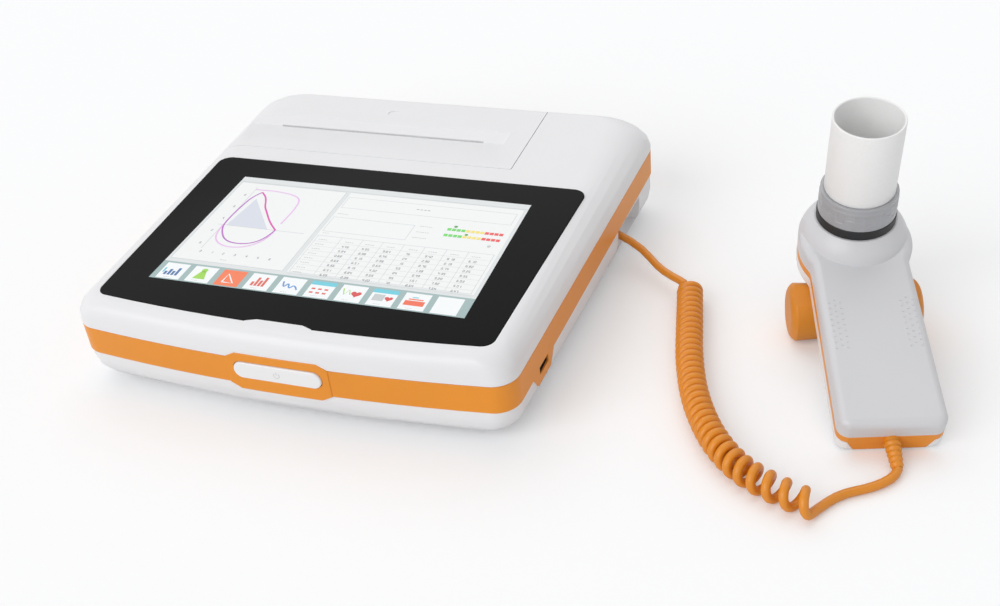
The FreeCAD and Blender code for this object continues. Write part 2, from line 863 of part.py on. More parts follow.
def cord_pocket(skin):
    """The recess in the right side of the lower cover where the sensor cord plugs in."""
    return box(plug_face_x() - skin, plug_face_x() + 20, pocket_front_y - skin,
               pocket_rear_y + skin, pocket_low - skin, pocket_high + skin)


def plug_face_x():
    """Back wall of the cord pocket."""
    return console_x + half_width_at(plug_y) - pocket_depth


def bottom_cover():
    hull = lower_hull(0)
    shell = hull.cut(lower_hull(wall))
    pocket_skin = cord_pocket(wall).common(hull)
    shell = shell.fuse(pocket_skin).cut(cord_pocket(0))
    shell = shell.cut(on_console(surround_prism(band_wall + 2, 4)))
    shell = shell.cut(on_console(port_skirt()))

    extras = []
    for x, y in case_screw_places():
        extras.append(rod(boss_radius, (x, y, foot_height), (x, y, boss_top)))
    floor = -roll_depth - roll_radius - bin_gap - bin_wall - 0.2 - 1.5
    left, right = platen_ends()
    for x in (left + 8, right - 8):
        for y in (motor_place()[0] - 2, roll_y + 6):
            px, py, pz = console_point(x, y, floor - 0.15)
            extras.append(rod(4.0, (px, py, foot_height + 1), (px, py, pz)))
    bx, by = battery_place
    length, depth = battery_size[:2]
    foot = foot_height + wall
    for x0, x1, y0, y1 in ((bx - 1.6, bx - 0.3, by, by + depth),
                           (bx + length + 0.3, bx + length + 1.6, by, by + depth)):
        extras.append(box(x0, x1, y0, y1, foot - 0.5, foot + 9))
    sx, sy = speaker_place
    extras.append(tube(speaker_radius + 1.8, speaker_radius + 0.3, (sx, sy, foot - 0.5),
                       (sx, sy, foot + 4)))
    shell = shell.fuse(extras)

    cuts = []
    for x, y in case_screw_places():
        cuts.append(rod(screw_head_radius + 0.4, (x, y, 0), (x, y, foot_height + 4)))
        cuts.append(rod(screw_radius + screw_gap, (x, y, 0), (x, y, boss_top + 1)))
    cuts.append(box(bx + door_margin, bx + length - door_margin, by + door_margin,
                    by + depth - door_margin, 0, foot + 1))
    cuts.append(box(bx + door_margin - 3, bx + length - door_margin + 3, by + door_margin - 3,
                    by + depth - door_margin + 3, 0, foot_height + 1.4))
    for i in range(-3, 4):
        half = math.sqrt((speaker_radius - 3) ** 2 - (3.0 * i) ** 2)
        cuts.append(box(sx - half, sx + half, sy + 3.0 * i - 0.6, sy + 3.0 * i + 0.6, 0, foot + 1))
    for i in range(9):
        x = console_x - 60 + 6 * i
        cuts.append(box(x, x + 2.4, 6, 26, 0, foot + 1))
    cuts.append(box(plug_face_x() - wall - 1, plug_face_x() + 1,
                    plug_y - plug_width / 2 - plug_gap, plug_y + plug_width / 2 + plug_gap,
                    plug_z - plug_height / 2 - plug_gap, plug_z + plug_height / 2 + plug_gap))
    cuts.append(power_nose(0.2, 5))
    return shell.cut(cuts).removeSplitter()


def battery_pack():
    bx, by = battery_place
    length, depth, height = battery_size
    foot = foot_height + wall + 0.2
    cells = []
    radius = height / 2
    for y in (by + radius + 0.3, by + depth - radius - 0.3):
        cells.append(rod(radius, (bx + 0.5, y, foot + radius), (bx + length - 0.5, y, foot + radius)))
    cells.append(box(bx + 0.5, bx + length - 0.5, by + radius, by + depth - radius,
                     foot + 1, foot + height - 1))
    return fused(cells)


def battery_door():
    bx, by = battery_place
    length, depth = battery_size[:2]
    low = foot_height
    flange = box(bx + door_margin - 3 + door_gap, bx + length - door_margin + 3 - door_gap,
                 by + door_margin - 3 + door_gap, by + depth - door_margin + 3 - door_gap,
                 low, low + 1.2)
    plug = box(bx + door_margin + door_gap, bx + length - door_margin - door_gap,
               by + door_margin + door_gap, by + depth - door_margin - door_gap,
               low, low + wall)
    door = fused([flange, plug])
    grips = []
    for i in range(5):
        x = bx + length / 2 - 10 + 4 * i
        grips.append(box(x, x + 1.6, by + depth / 2 - 6, by + depth / 2 + 6, low - 1, low + 0.6))
    return door.cut(grips)


def speaker():
    sx, sy = speaker_place
    foot = foot_height + wall + 0.2
    cone = Part.makeCone(speaker_radius, speaker_radius * 0.6, speaker_height * 0.5,
                         Vec(sx, sy, foot + 2), Vec(0, 0, 1))
    rim = rod(speaker_radius, (sx, sy, foot), (sx, sy, foot + 2))
    magnet = rod(speaker_radius * 0.5, (sx, sy, foot + 2), (sx, sy, foot + speaker_height))
    return fused([rim, cone, magnet])


def foot_places():
    """The four feet in the console's plan: the front pair stands well in from the edge."""
    front_y = front_foot_inset - rear_edge
    rear_y = rear_edge - rear_foot_inset
    left, right = rear_feet_x
    return [(-front_foot_x, front_y), (front_foot_x, front_y), (left, rear_y), (right, rear_y)]


def rubber_feet():
    feet = []
    for x, y in foot_places():
        pad = rod(foot_radius, (console_x + x, y, 0), (console_x + x, y, foot_height))
        rim = [edge for edge in pad.Edges if edge.BoundBox.ZMax < 0.01]
        feet.append(pad.makeFillet(0.6, rim))
    return Part.makeCompound(feet)


def case_screws():
    screws = []
    for x, y in case_screw_places():
        head = rod(screw_head_radius, (x, y, foot_height + 2), (x, y, foot_height + 4))
        shank = rod(screw_radius, (x, y, foot_height + 4), (x, y, boss_top + 12))
        socket = rod(1.1, (x, y, foot_height + 2), (x, y, foot_height + 3))
        screws.append(fused([head, shank]).cut(socket))
    return Part.makeCompound(screws)


def data_port():
    """The small data socket behind its slot in the right flank."""
    side = half_width_at(port_y)
    half = port_length / 2 - port_gap
    high = port_height / 2 - port_gap
    inner = side - band_wall - 0.4
    shell = box(inner - 5, side - 0.6, port_y - half, port_y + half, port_z - high, port_z + high)
    mouth = box(inner - 3, side + 1, port_y - half + port_sheet, port_y + half - port_sheet,
                port_z - high + port_sheet, port_z + high - port_sheet)
    carrier = box(inner - 3, inner, port_y - 7, port_y + 7, port_z - 3.4, port_z + 3.4)
    return on_console(fused([shell, carrier]).cut(mouth))


def power_nose(gap, reach):
    """The round mouth of the power socket, through the rear wall of the lower cover."""
    rear = console_depth / 2 - lower_inset
    return rod(power_socket_radius + power_nose_wall + gap,
               (power_socket_x, rear - wall - 1, power_socket_z),
               (power_socket_x, rear + reach, power_socket_z))


def power_socket():
    """The round low-voltage socket in the rear wall."""
    rear = console_depth / 2 - lower_inset
    x = power_socket_x
    z = power_socket_z
    body = box(x - 5, x + 5, rear - 14, rear - wall - 0.3, z - 5, z + 4.6)
    body = body.fuse(power_nose(0, -0.2))
    body = body.cut(rod(power_socket_radius, (x, rear - 11, z), (x, rear + 1, z)))
    pin = rod(power_pin_radius, (x, rear - 12, z), (x, rear - 2, z))
    return fused([body, pin])


def sensor_socket():
    """The socket behind the cord pocket, open towards the plug."""
    x1 = plug_face_x() - wall - 0.3
    wide = plug_width / 2 + plug_gap
    high = plug_height / 2 + plug_gap
    body = box(x1 - 13, x1, plug_y - wide - 1.5, plug_y + wide + 1.5, foot_height + wall + 1.2,
               plug_z + high + 1.5)
    return body.cut(box(x1 - 11, x1 + 1, plug_y - wide, plug_y + wide, plug_z - high, plug_z + high))


def sensor_plug():
    """The plug on the console end of the cord, with its short boot."""
    face = plug_face_x()
    body = box(face - wall - 11, face + 2, plug_y - plug_width / 2, plug_y + plug_width / 2,
               plug_z - plug_height / 2, plug_z + plug_height / 2)
    boot = Part.makeCone(3.4, cord_radius + 0.6, 2.0, Vec(face + 2, plug_y, plug_z), Vec(1, 0, 0))
    return fused([body, boot])


def handset_outline(z, inset):
    """The handset from above: a slightly tapered handle that flares into a round head."""
    near = handle_near_width / 2 - inset
    neck = handle_neck_width / 2 - inset
    head = head_radius - inset
    corner = max(near_corner_radius - inset, 1.5)
    fillet = neck_fillet + inset
    # The neck fillet touches the side of the handle and the head circle
    fillet_y = neck + fillet
    fillet_x = head_x - math.sqrt((head + fillet) ** 2 - fillet_y ** 2)
    to_head = Vec(head_x - fillet_x, -fillet_y, 0).normalize()
    touch = Vec(fillet_x, fillet_y, z) + to_head * fillet
    side = Vec(fillet_x, neck, z)
    bend = Vec(fillet_x, fillet_y, z) + (to_head + Vec(0, -1, 0)).normalize() * fillet
    x0 = inset
    edge_start = Vec(x0 + corner, near, z)
    edge_end = Vec(x0, near - corner, z)
    diagonal = corner * (1 - math.sqrt(0.5))
    edge_middle = Vec(x0 + diagonal, near - diagonal, z)

    def mirrored(point):
        return Vec(point.x, -point.y, point.z)

    edges = [
        Part.LineSegment(mirrored(edge_end), edge_end),
        Part.Arc(edge_end, edge_middle, edge_start),
        Part.LineSegment(edge_start, side),
        Part.Arc(side, bend, touch),
        Part.Arc(touch, Vec(head_x + head, 0, z), mirrored(touch)),
        Part.Arc(mirrored(touch), mirrored(bend), mirrored(side)),
        Part.LineSegment(mirrored(side), mirrored(edge_start)),
        Part.Arc(mirrored(edge_start), mirrored(edge_middle), mirrored(edge_end)),
    ]
    return Part.Wire([edge.toShape() for edge in edges])


def slab(low, high, inset):
    """A slice of the handset between two heights."""
    return Part.Face(handset_outline(low, inset)).extrude(Vec(0, 0, high - low))


def along_axis(s):
    """A point on the turbine axis, at a distance above the collar."""
    tilt = math.radians(turbine_tilt)
    return (collar_x + s * math.sin(tilt), 0, collar_z + s * math.cos(tilt))


def turbine_rod(radius, low, high):
    return rod(radius, along_axis(low), along_axis(high))


def head_dome(inset):
    """The raised head round the turbine: a domed collar turned about the tilted axis."""
    radius = head_radius - 0.6 - inset
    shoulder = -collar_drop - inset
    profile = [Vec(0, 0, -24), Vec(radius, 0, -24), Vec(radius, 0, shoulder - 4)]
    lines = [Part.LineSegment(profile[0], profile[1]), Part.LineSegment(profile[1], profile[2])]
    top = Vec(collar_radius - inset, 0, -inset)
    mid = Vec(radius - 1.9, 0, shoulder + 1.2)
    lines.append(Part.Arc(profile[2], mid, top))
    lines.append(Part.LineSegment(top, Vec(0, 0, -inset)))
    lines.append(Part.LineSegment(Vec(0, 0, -inset), profile[0]))
    face = Part.Face(Part.Wire([line.toShape() for line in lines]))
    dome = face.revolve(Vec(0, 0, 0), Vec(0, 0, 1), 360)
    dome.rotate(Vec(0, 0, 0), Vec(0, 1, 0), turbine_tilt)
    dome.translate(Vec(collar_x, 0, collar_z))
    return dome


def tail_plate(gap):
    """The six-sided orange area at the near end, below the band."""
    wide = tail_half_width - gap
    narrow = tail_low_half_width - gap
    points = [(-1, -wide, handset_band_low), (-1, -narrow, tail_low + gap),
              (-1, narrow, tail_low + gap), (-1, wide, handset_band_low)]
    return polygon_prism(points, (1 + handset_wall + 1, 0, 0))


def rounded_slab(low, high, inset, radius, at_top):
    """A slice whose top or bottom edge is rounded."""
    body = slab(low, high, inset)
    level = high if at_top else low
    rim = [edge for edge in body.Edges
           if abs(edge.BoundBox.ZMax - level) < 0.01 and abs(edge.BoundBox.ZMin - level) < 0.01]
    return body.makeFillet(radius, rim)


def above(shape, level):
    """The part of a shape above a height."""
    reach = 2 * (head_x + head_radius)
    return shape.common(box(-reach, reach, -reach, reach, level, reach))


def below(shape, level):
    """The part of a shape below a height."""
    reach = 2 * (head_x + head_radius)
    return shape.common(box(-reach, reach, -reach, reach, -reach, level))


def sensor_back():
    """How far from the turbine axis the light sensors reach."""
    return head_radius - 2


def sensor_pockets(radius, start, end):
    """Four short cylinders that look at the rotor across the turbine."""
    tilt = math.radians(turbine_tilt)
    level = -9.0
    base = Vec(*along_axis(level))
    across = Vec(math.cos(tilt), 0, -math.sin(tilt))
    shapes = []
    for angle in (60, 120, 240, 300):
        turn = math.radians(angle)
        ray = across * math.cos(turn) + Vec(0, 1, 0) * math.sin(turn)
        shapes.append(Part.makeCylinder(radius, end - start, base + ray * start, ray))
    return shapes


def handset_screw_places():
    return [(x, side * handset_screw_side) for x in (handset_screw_near, handset_screw_far)
            for side in (-1, 1)]


def handset_top_shell():
    outer = rounded_slab(handset_band_high, handset_thickness, 0, handset_top_radius, True)
    inner = slab(handset_band_high - 1, handset_thickness - handset_wall, handset_wall)
    shell = outer.cut(inner)
    dome = above(head_dome(0), handset_band_high)
    shell = shell.fuse(dome)
    dots = []
    for row in range(9):
        for side in (-1, 1):
            for column in range(3):
                x = 37.5 + 2.9 * row + 1.4 * (column % 2)
                y = side * (17.0 - 2.3 * column)
                dots.append(rod(0.45, (x, y, handset_thickness - 0.5), (x, y, handset_thickness + 0.3)))
    for x, y in handset_screw_places():
        shell = shell.fuse(tube(2.6, 0.85, (x, y, handset_board_low + handset_board_thickness),
                                (x, y, handset_thickness - handset_wall + 0.2)))
    shell = shell.cut(turbine_rod(turbine_radius + turbine_gap, -head_x, 5))
    shell = shell.cut(sensor_pockets(sensor_radius + sensor_gap, 10, sensor_back() + 0.2))
    return on_handset(shell.fuse(dots).removeSplitter())


def handset_band():
    ring = slab(handset_band_low, handset_band_high - 0.1, 0).cut(
        slab(handset_band_low - 1, handset_band_high + 1, handset_wall))
    low_ring = slab(0, handset_band_low + 0.5, 0).cut(slab(-1, handset_band_low + 2, handset_wall))
    tail = low_ring.common(tail_plate(0))
    hole = rod(relief_tip_radius + 0.4, (-2, 0, relief_height), (5, 0, relief_height))
    band = ring.fuse(tail).cut(hole)
    return on_handset(band.removeSplitter())


def handset_bottom_shell():
    top = handset_band_low - 0.1
    outer = rounded_slab(0, top, 0, heel_radius, False)
    shell = outer.cut(slab(handset_wall, top + 1, handset_wall))
    cup = below(head_dome(0), top)
    skirt = slab(-8, top, 0)
    reach = 1.5 * head_radius
    head_block = box(head_x - reach, head_x + reach, -head_radius, head_radius, 0, handset_band_high)
    shell = shell.fuse(above(cup.common(skirt.fuse(head_block)), 0))
    shell = shell.cut(tail_plate(-0.1))
    posts = []
    for x, y in handset_screw_places():
        posts.append(rod(2.6, (x, y, 0), (x, y, handset_board_low)))
    shell = shell.fuse(posts)
    for x, y in handset_screw_places():
        shell = shell.cut(rod(1.9, (x, y, -1), (x, y, 2.6)))
        shell = shell.cut(rod(0.9, (x, y, -1), (x, y, 12)))
    shell = shell.cut(turbine_rod(turbine_radius + turbine_gap, -head_x, 5))
    return on_handset(shell.removeSplitter())


def handset_rest():
    """The orange rest: a waisted barrel across the handle, hollowed below the air outlet."""
    pitch = math.radians(handset_pitch)
    drop = (rest_x * math.sin(pitch) + heel_lift() - rest_radius) / math.cos(pitch)
    r = rest_radius
    half = rest_half_length
    flat = half - rest_end_round
    outline = [
        Part.LineSegment(Vec(0, -half, 0), Vec(0, half, 0)),
        Part.LineSegment(Vec(0, half, 0), Vec(r * 0.55, half, 0)),
        Part.Arc(Vec(r * 0.55, half, 0), Vec(r * 0.9, half - rest_end_round * 0.42, 0),
                 Vec(r, flat, 0)),
        Part.Arc(Vec(r, flat, 0), Vec(r - rest_waist, 0, 0), Vec(r, -flat, 0)),
        Part.Arc(Vec(r, -flat, 0), Vec(r * 0.9, rest_end_round * 0.42 - half, 0),
                 Vec(r * 0.55, -half, 0)),
        Part.LineSegment(Vec(r * 0.55, -half, 0), Vec(0, -half, 0)),
    ]
    face = Part.Face(Part.Wire([piece.toShape() for piece in outline]))
    barrel = face.revolve(Vec(0, 0, 0), Vec(0, 1, 0), 360)
    barrel.translate(Vec(rest_x, 0, -drop))
    barrel = below(barrel, 0)
    air = turbine_rod(turbine_radius + outlet_clearance, -80, 5)
    return on_handset(barrel.cut(air))


def head_seal():
    return on_handset(turbine_rod(seal_radius, 0, seal_height).cut(
        turbine_rod(turbine_radius - 1.4, -1, seal_height + 1)))


def turbine_body():
    """The clear housing of the turbine, with the cup that holds the mouthpiece."""
    ring = turbine_rod(turbine_radius, seal_height, turbine_ring_top)
    stem = turbine_rod(turbine_radius - 2.2, -turbine_depth, seal_height + 0.5)
    body = ring.fuse(stem)
    body = body.cut(turbine_rod(turbine_bore - 0.7, -turbine_depth - 1, turbine_ring_top + 1))
    cup = mouthpiece_radius - mouthpiece_step + mouthpiece_gap
    body = body.cut(turbine_rod(cup, mouthpiece_seat, turbine_ring_top + 1))
    return on_handset(body.removeSplitter())


def swirler(low):
    """A hub with a ring of straight guide blades, inside the turbine."""
    hub = turbine_rod(swirler_hub, low, low + swirler_height)
    blades = []
    for i in range(swirler_blades):
        blade = box(0, turbine_bore - 0.75, -blade_thickness / 2, blade_thickness / 2,
                    0, swirler_height)
        blade.rotate(Vec(0, 0, 0), Vec(0, 0, 1), 360 * i / swirler_blades)
        blade.rotate(Vec(0, 0, 0), Vec(0, 1, 0), turbine_tilt)
        blade.translate(Vec(*along_axis(low)))
        blades.append(blade)
    part = fused([hub] + blades)
    return part.cut(turbine_rod(axle_radius, low - 1, low + swirler_height + 1))


def rotor_level():
    """The middle of the rotor, half way between the two swirlers."""
    return -9.0


def swirler_low():
    return on_handset(swirler(rotor_level() - rotor_height / 2 - rotor_gap - swirler_height))


def swirler_high():
    return on_handset(swirler(rotor_level() + rotor_height / 2 + rotor_gap))


def turbine_axle():
    reach = rotor_height / 2 + rotor_gap + swirler_height
    return on_handset(turbine_rod(axle_radius, rotor_level() - reach, rotor_level() + reach))


def turbine_rotor():
    """A light flat vane that spins on the axle."""
    vane = box(-rotor_half_width, rotor_half_width, -rotor_thickness / 2, rotor_thickness / 2,
               -rotor_height / 2, rotor_height / 2)
    hub = Part.makeCylinder(rotor_hub, rotor_height, Vec(0, 0, -rotor_height / 2))
    bore = Part.makeCylinder(axle_radius + running_gap, rotor_height + 2,
                             Vec(0, 0, -rotor_height / 2 - 1))
    rotor = fused([vane, hub]).cut(bore)
    rotor.rotate(Vec(0, 0, 0), Vec(0, 1, 0), turbine_tilt)
    rotor.translate(Vec(*along_axis(rotor_level())))
    return on_handset(rotor)


def mouthpiece():
    """A thin-walled tube, a hair slimmer where it sits in the turbine's cup."""
    shoulder = turbine_ring_top + mouthpiece_clearance
    outer = turbine_rod(mouthpiece_radius, shoulder, mouthpiece_top)
    outer = outer.fuse(turbine_rod(mouthpiece_radius - mouthpiece_step, mouthpiece_seat, shoulder))
    inner = turbine_rod(mouthpiece_radius - mouthpiece_wall, mouthpiece_seat - 1, mouthpiece_top + 1)
    return on_handset(outer.cut(inner))


def handset_board():
    top = handset_board_low + handset_board_thickness
    plate = box(handset_screw_near - 4, handset_screw_far + 6, -handset_screw_side - 4,
                handset_screw_side + 4, handset_board_low, top)
    holes = [rod(1.2, (x, y, 0), (x, y, 20)) for x, y in handset_screw_places()]
    chip = box(34, 42, -5, 5, top - 0.1, top + 1.3)
    plug = box(5, 14, -4, 4, top - 0.1, top + 3.4)
    return on_handset(fused([plate.cut(holes), chip, plug]))


def optical_sensors():
    return on_handset(Part.makeCompound(
        sensor_pockets(sensor_radius, turbine_radius + 0.4, sensor_back())))


def handset_screws():
    screws = []
    for x, y in handset_screw_places():
        head = rod(1.7, (x, y, 1.2), (x, y, 2.6))
        shank = rod(0.8, (x, y, 2.6), (x, y, handset_thickness - handset_wall - 1))
        screws.append(fused([head, shank]))
    return on_handset(Part.makeCompound(screws))


def strain_relief():
    """A ribbed, tapered sleeve where the cord leaves the near end."""
    base = (0, 0, relief_height)
    cone = Part.makeCone(relief_base_radius, relief_tip_radius, relief_length,
                         Vec(0, 0, relief_height), Vec(-1, 0, 0))
    neck = rod(relief_tip_radius - 0.1, base, (handset_wall + 1.5, 0, relief_height))
    grooves = []
    for i in range(relief_ribs):
        x = -3.0 - i * 2.6
        grooves.append(tube(relief_base_radius + 1, relief_tip_radius - 0.1, (x, 0, relief_height),
                            (x - 1.1, 0, relief_height)))
    return on_handset(fused([cone, neck]).cut(grooves))


def route(points, radius, name):
    """A tube along straight runs that tangent arcs join."""
    spots = [Vec(*p) for p in points]
    edges = []
    radii = []
    start = spots[0]
    length = 0.0
    for before, here, after in zip(spots, spots[1:], spots[2:]):
        back = (before - here)
        ahead = (after - here)
        shorter = min(back.Length, ahead.Length)
        trim = 0.45 * shorter
        half_turn = (math.pi - back.getAngle(ahead)) / 2
        bend = trim / math.tan(half_turn)
        radii.append(bend)
        enter = here + back.normalize() * trim
        leave = here + ahead.normalize() * trim
        inward = (back + ahead).normalize()
        crown = here + inward * (bend / math.cos(half_turn) - bend)
        edges.append(Part.LineSegment(start, enter).toShape())
        edges.append(Part.Arc(enter, crown, leave).toShape())
        start = leave
    edges.append(Part.LineSegment(start, spots[-1]).toShape())
    path = Part.Wire(edges)
    length = path.Length
    first = (spots[1] - spots[0]).normalize()
    ring = Part.Wire([Part.makeCircle(radius, spots[0], first)])
    body = path.makePipeShell([ring], True, False)
    ratio = body.Volume / (math.pi * radius ** 2 * length)
    print(name, "length %.1f" % length, "volume ratio %.4f" % ratio,
          "radii", " ".join("%.0f" % value for value in radii))
    return body


def coil_points():
    """Middle line of the coil on the floor."""
    level = coil_radius + 0.1
    return [(72.8, 18.2, level), (77.2, -4.0, level), (82.8, -33.0, level), (91.6, -62.0, level),
            (106.0, -88.5, level), (124.6, -104.8, level), (143.8, -111.6, level)]


def console_lead_points():
    """From the plug's boot, over the floor, to the start of the coil."""
    return [(plug_face_x() + 4, plug_y, plug_z), (44.0, 46.0, 13.0), (53.0, 34.5, 7.2),
            (61.0, 24.6, 3.0), (70.6, 17.8, 4.6)]


def handset_lead_points():
    """From the end of the coil, over the floor, to the strain relief."""
    tip = handset_point(-relief_length, 0, relief_height)
    return [tip, (176.6, -91.0, 2.0), (171.4, -99.8, 2.0), (161.4, -100.2, 2.0),
            (151.8, -103.6, 2.1), (143.6, -111.0, 4.4)]


def cord_coil():
    return route(coil_points(), coil_radius, "cord_coil")


def cord_lead_console():
    return route(console_lead_points(), cord_radius, "cord_lead_console")


def cord_lead_handset():
    return route(handset_lead_points(), cord_radius, "cord_lead_handset")


nodes = {
    "top_cover": top_cover,
    "side_band": side_band,
    "bottom_cover": bottom_cover,
    "touch_glass": lambda: on_console(touch_glass()),
    "display_panel": display_panel,
    "display_bracket": display_bracket,
    "main_board": main_board,
    "printer_lid": printer_lid,
    "lid_hinge_pin": lid_hinge_pin,
    "printer_frame": printer_frame,
    "print_head": print_head,
    "platen_roller": platen_roller,
    "platen_gear": platen_gear,
    "motor_pinion": motor_pinion,
    "feed_motor": feed_motor,
    "paper_bin": paper_bin,
    "paper_roll": paper_roll,
    "paper_core": paper_core,
    "power_button": power_button,
    "button_board": button_board,
    "data_port": data_port,
    "power_socket": power_socket,
    "sensor_socket": sensor_socket,
    "speaker": speaker,
    "battery_pack": battery_pack,
    "battery_door": battery_door,
    "rubber_feet": rubber_feet,
    "case_screws": case_screws,
    "sensor_plug": sensor_plug,
    "cord_lead_console": cord_lead_console,
    "cord_coil": cord_coil,
    "cord_lead_handset": cord_lead_handset,
    "strain_relief": strain_relief,
    "handset_top_shell": handset_top_shell,
    "handset_band": handset_band,
    "handset_bottom_shell": handset_bottom_shell,
    "handset_rest": handset_rest,
    "head_seal": head_seal,
    "turbine_body": turbine_body,
    "swirler_low": swirler_low,
    "swirler_high": swirler_high,
    "turbine_axle": turbine_axle,
    "turbine_rotor": turbine_rotor,
    "mouthpiece": mouthpiece,
    "handset_board": handset_board,
    "optical_sensors": optical_sensors,
    "handset_screws": handset_screws,
}

os.makedirs("parts", exist_ok=True)
for name, make in nodes.items():
    shape = make()
    shape.exportStep("parts/%s.step" % name)
    spread = shape.BoundBox
    print("%-22s solids %d valid %s volume %.0f x %.1f..%.1f y %.1f..%.1f z %.1f..%.1f" % (
        name, len(shape.Solids), shape.isValid(), shape.Volume, spread.XMin, spread.XMax,
        spread.YMin, spread.YMax, spread.ZMin, spread.ZMax))
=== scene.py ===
# %% [markdown]
# # A desktop spirometer, dressed
#
# The object is a wedge-shaped console with a touch screen and a small printer, and a handset on a
# curly cord that carries a turbine and a mouthpiece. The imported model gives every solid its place.
# This lesson gives each one its finish and adds the forms too fine or too soft for the solids.
# Each code cell is one step, and prints what it made.

import json
import math

import bmesh
import bpy
import numpy as np
from mathutils import Matrix, Vector


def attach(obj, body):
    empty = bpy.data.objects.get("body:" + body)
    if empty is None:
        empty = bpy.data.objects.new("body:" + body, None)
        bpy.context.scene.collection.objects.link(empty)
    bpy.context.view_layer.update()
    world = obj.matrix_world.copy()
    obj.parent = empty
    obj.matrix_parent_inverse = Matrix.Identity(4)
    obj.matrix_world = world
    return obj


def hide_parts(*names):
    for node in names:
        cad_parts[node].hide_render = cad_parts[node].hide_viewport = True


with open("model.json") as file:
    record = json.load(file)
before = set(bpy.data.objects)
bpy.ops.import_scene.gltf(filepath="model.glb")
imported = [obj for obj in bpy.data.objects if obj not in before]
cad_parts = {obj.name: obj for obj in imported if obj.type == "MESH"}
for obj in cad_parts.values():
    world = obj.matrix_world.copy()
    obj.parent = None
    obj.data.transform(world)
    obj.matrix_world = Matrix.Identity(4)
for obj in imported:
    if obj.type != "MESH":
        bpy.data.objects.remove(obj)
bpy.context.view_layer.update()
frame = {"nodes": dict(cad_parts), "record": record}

# %% [markdown]
# ## Two slanted frames
#
# Most pieces are easier to draw flat: the console with its screen plane at height 0, the handset
# lying along one axis. One could draw in the room and turn each object, but a turned object slides
# its patterns and leaves the export. So two functions turn whole arrays of points instead, from
# millimetres in a slanted frame to metres in the room.

# %% The console's frame and the handset's frame
SCREEN_TILT = math.radians(1.5)
CONSOLE_X, CONSOLE_Z = -77.8, 48.157
HANDSET_PITCH, HANDSET_YAW = math.radians(18), math.radians(16.5)
HANDSET_ORIGIN = np.array([170.1, -65.6, -0.780])


def on_console(x, y, z):
    """Tilts by the screen angle about x, then lifts and shifts. Gives metres."""
    x, y, z = np.broadcast_arrays(np.asarray(x, float), y, z)
    c, s = math.cos(SCREEN_TILT), math.sin(SCREEN_TILT)
    return np.stack([x + CONSOLE_X, y * c - z * s, y * s + z * c + CONSOLE_Z], -1) / 1000


def on_handset(x, y, z):
    """Pitches up about y, turns about z, then shifts: x' runs to the head end. Gives metres."""
    x, y, z = np.broadcast_arrays(np.asarray(x, float), y, z)
    c, s = math.cos(HANDSET_PITCH), math.sin(HANDSET_PITCH)
    along, up = x * c - z * s, x * s + z * c
    c, s = math.cos(math.pi / 2 + HANDSET_YAW), math.sin(math.pi / 2 + HANDSET_YAW)
    flat = np.stack([along * c - y * s, along * s + y * c, up], -1)
    return (flat + HANDSET_ORIGIN) / 1000


print("screen centre", on_console(0, -32.3, 0).round(4), "heel", on_handset(0, 0, 0).round(4))

# %% [markdown]
# ## From arrays to meshes
#
# A surface here is a grid of points, one row after another. Its faces join each point to the next
# in its row and in the next row, and index arithmetic writes all of them at once, with no loop over
# vertices. Seams and poles have doubled points, so the mesh is welded and its faces turned outward.


# %% Grid surfaces, turned surfaces and flat shapes
def piece(name, vertices, faces, body, material, smooth=True, weld=True):
    """A mesh object from vertex and face arrays, riding on a body."""
    mesh = bpy.data.meshes.new(name)
    mesh.from_pydata(vertices.reshape(-1, 3).tolist(), [], [list(f) for f in faces])
    if weld:
        work = bmesh.new()
        work.from_mesh(mesh)
        bmesh.ops.remove_doubles(work, verts=work.verts, dist=2e-6)
        bmesh.ops.recalc_face_normals(work, faces=work.faces)
        work.to_mesh(mesh)
        work.free()
    mesh.polygons.foreach_set("use_smooth", [smooth] * len(mesh.polygons))
    thing = bpy.data.objects.new(name, mesh)
    bpy.context.collection.objects.link(thing)
    mesh.materials.append(material)
    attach(thing, body)
    return thing


def grid_faces(rows, columns):
    """Corner numbers of every cell of a grid with that many rows and columns of points."""
    start = (np.arange(rows - 1)[:, None] * columns + np.arange(columns - 1)).ravel()
    return np.stack([start, start + 1, start + columns + 1, start + columns], -1)


def grid(name, points, body, material, smooth=True):
    """A surface from points of shape (rows, columns, 3), in metres."""
    return piece(name, points, grid_faces(*points.shape[:2]), body, material, smooth)


def turned(name, radius, height, place, body, material, steps=96, smooth=True):
    """A profile (radius, height) spun round: x = r cos a, y = r sin a, z = h, then placed."""
    turn = np.linspace(0, 2 * np.pi, steps + 1)
    radius, height = np.asarray(radius, float)[:, None], np.asarray(height, float)[:, None]
    points = place(radius * np.cos(turn), radius * np.sin(turn), height + 0 * turn)
    return grid(name, points, body, material, smooth)


def sharpen(thing, degrees=30):
    """Keeps edges that turn by more than the angle crisp, and the others smooth."""
    thing.data.set_sharp_from_angle(angle=math.radians(degrees))
    return thing


print("grid of 3 by 4 points has", len(grid_faces(3, 4)), "faces")

# %% [markdown]
# ## The camera
#
# The photograph was taken from above the front right corner, so the lens and the place were worked
# out from the screen's four corners, whose real distances are known. One could look through the
# view and nudge until it fits, but a wrong lens never fits everywhere. The rows are the directions
# of the picture's right, its downward side and the view.

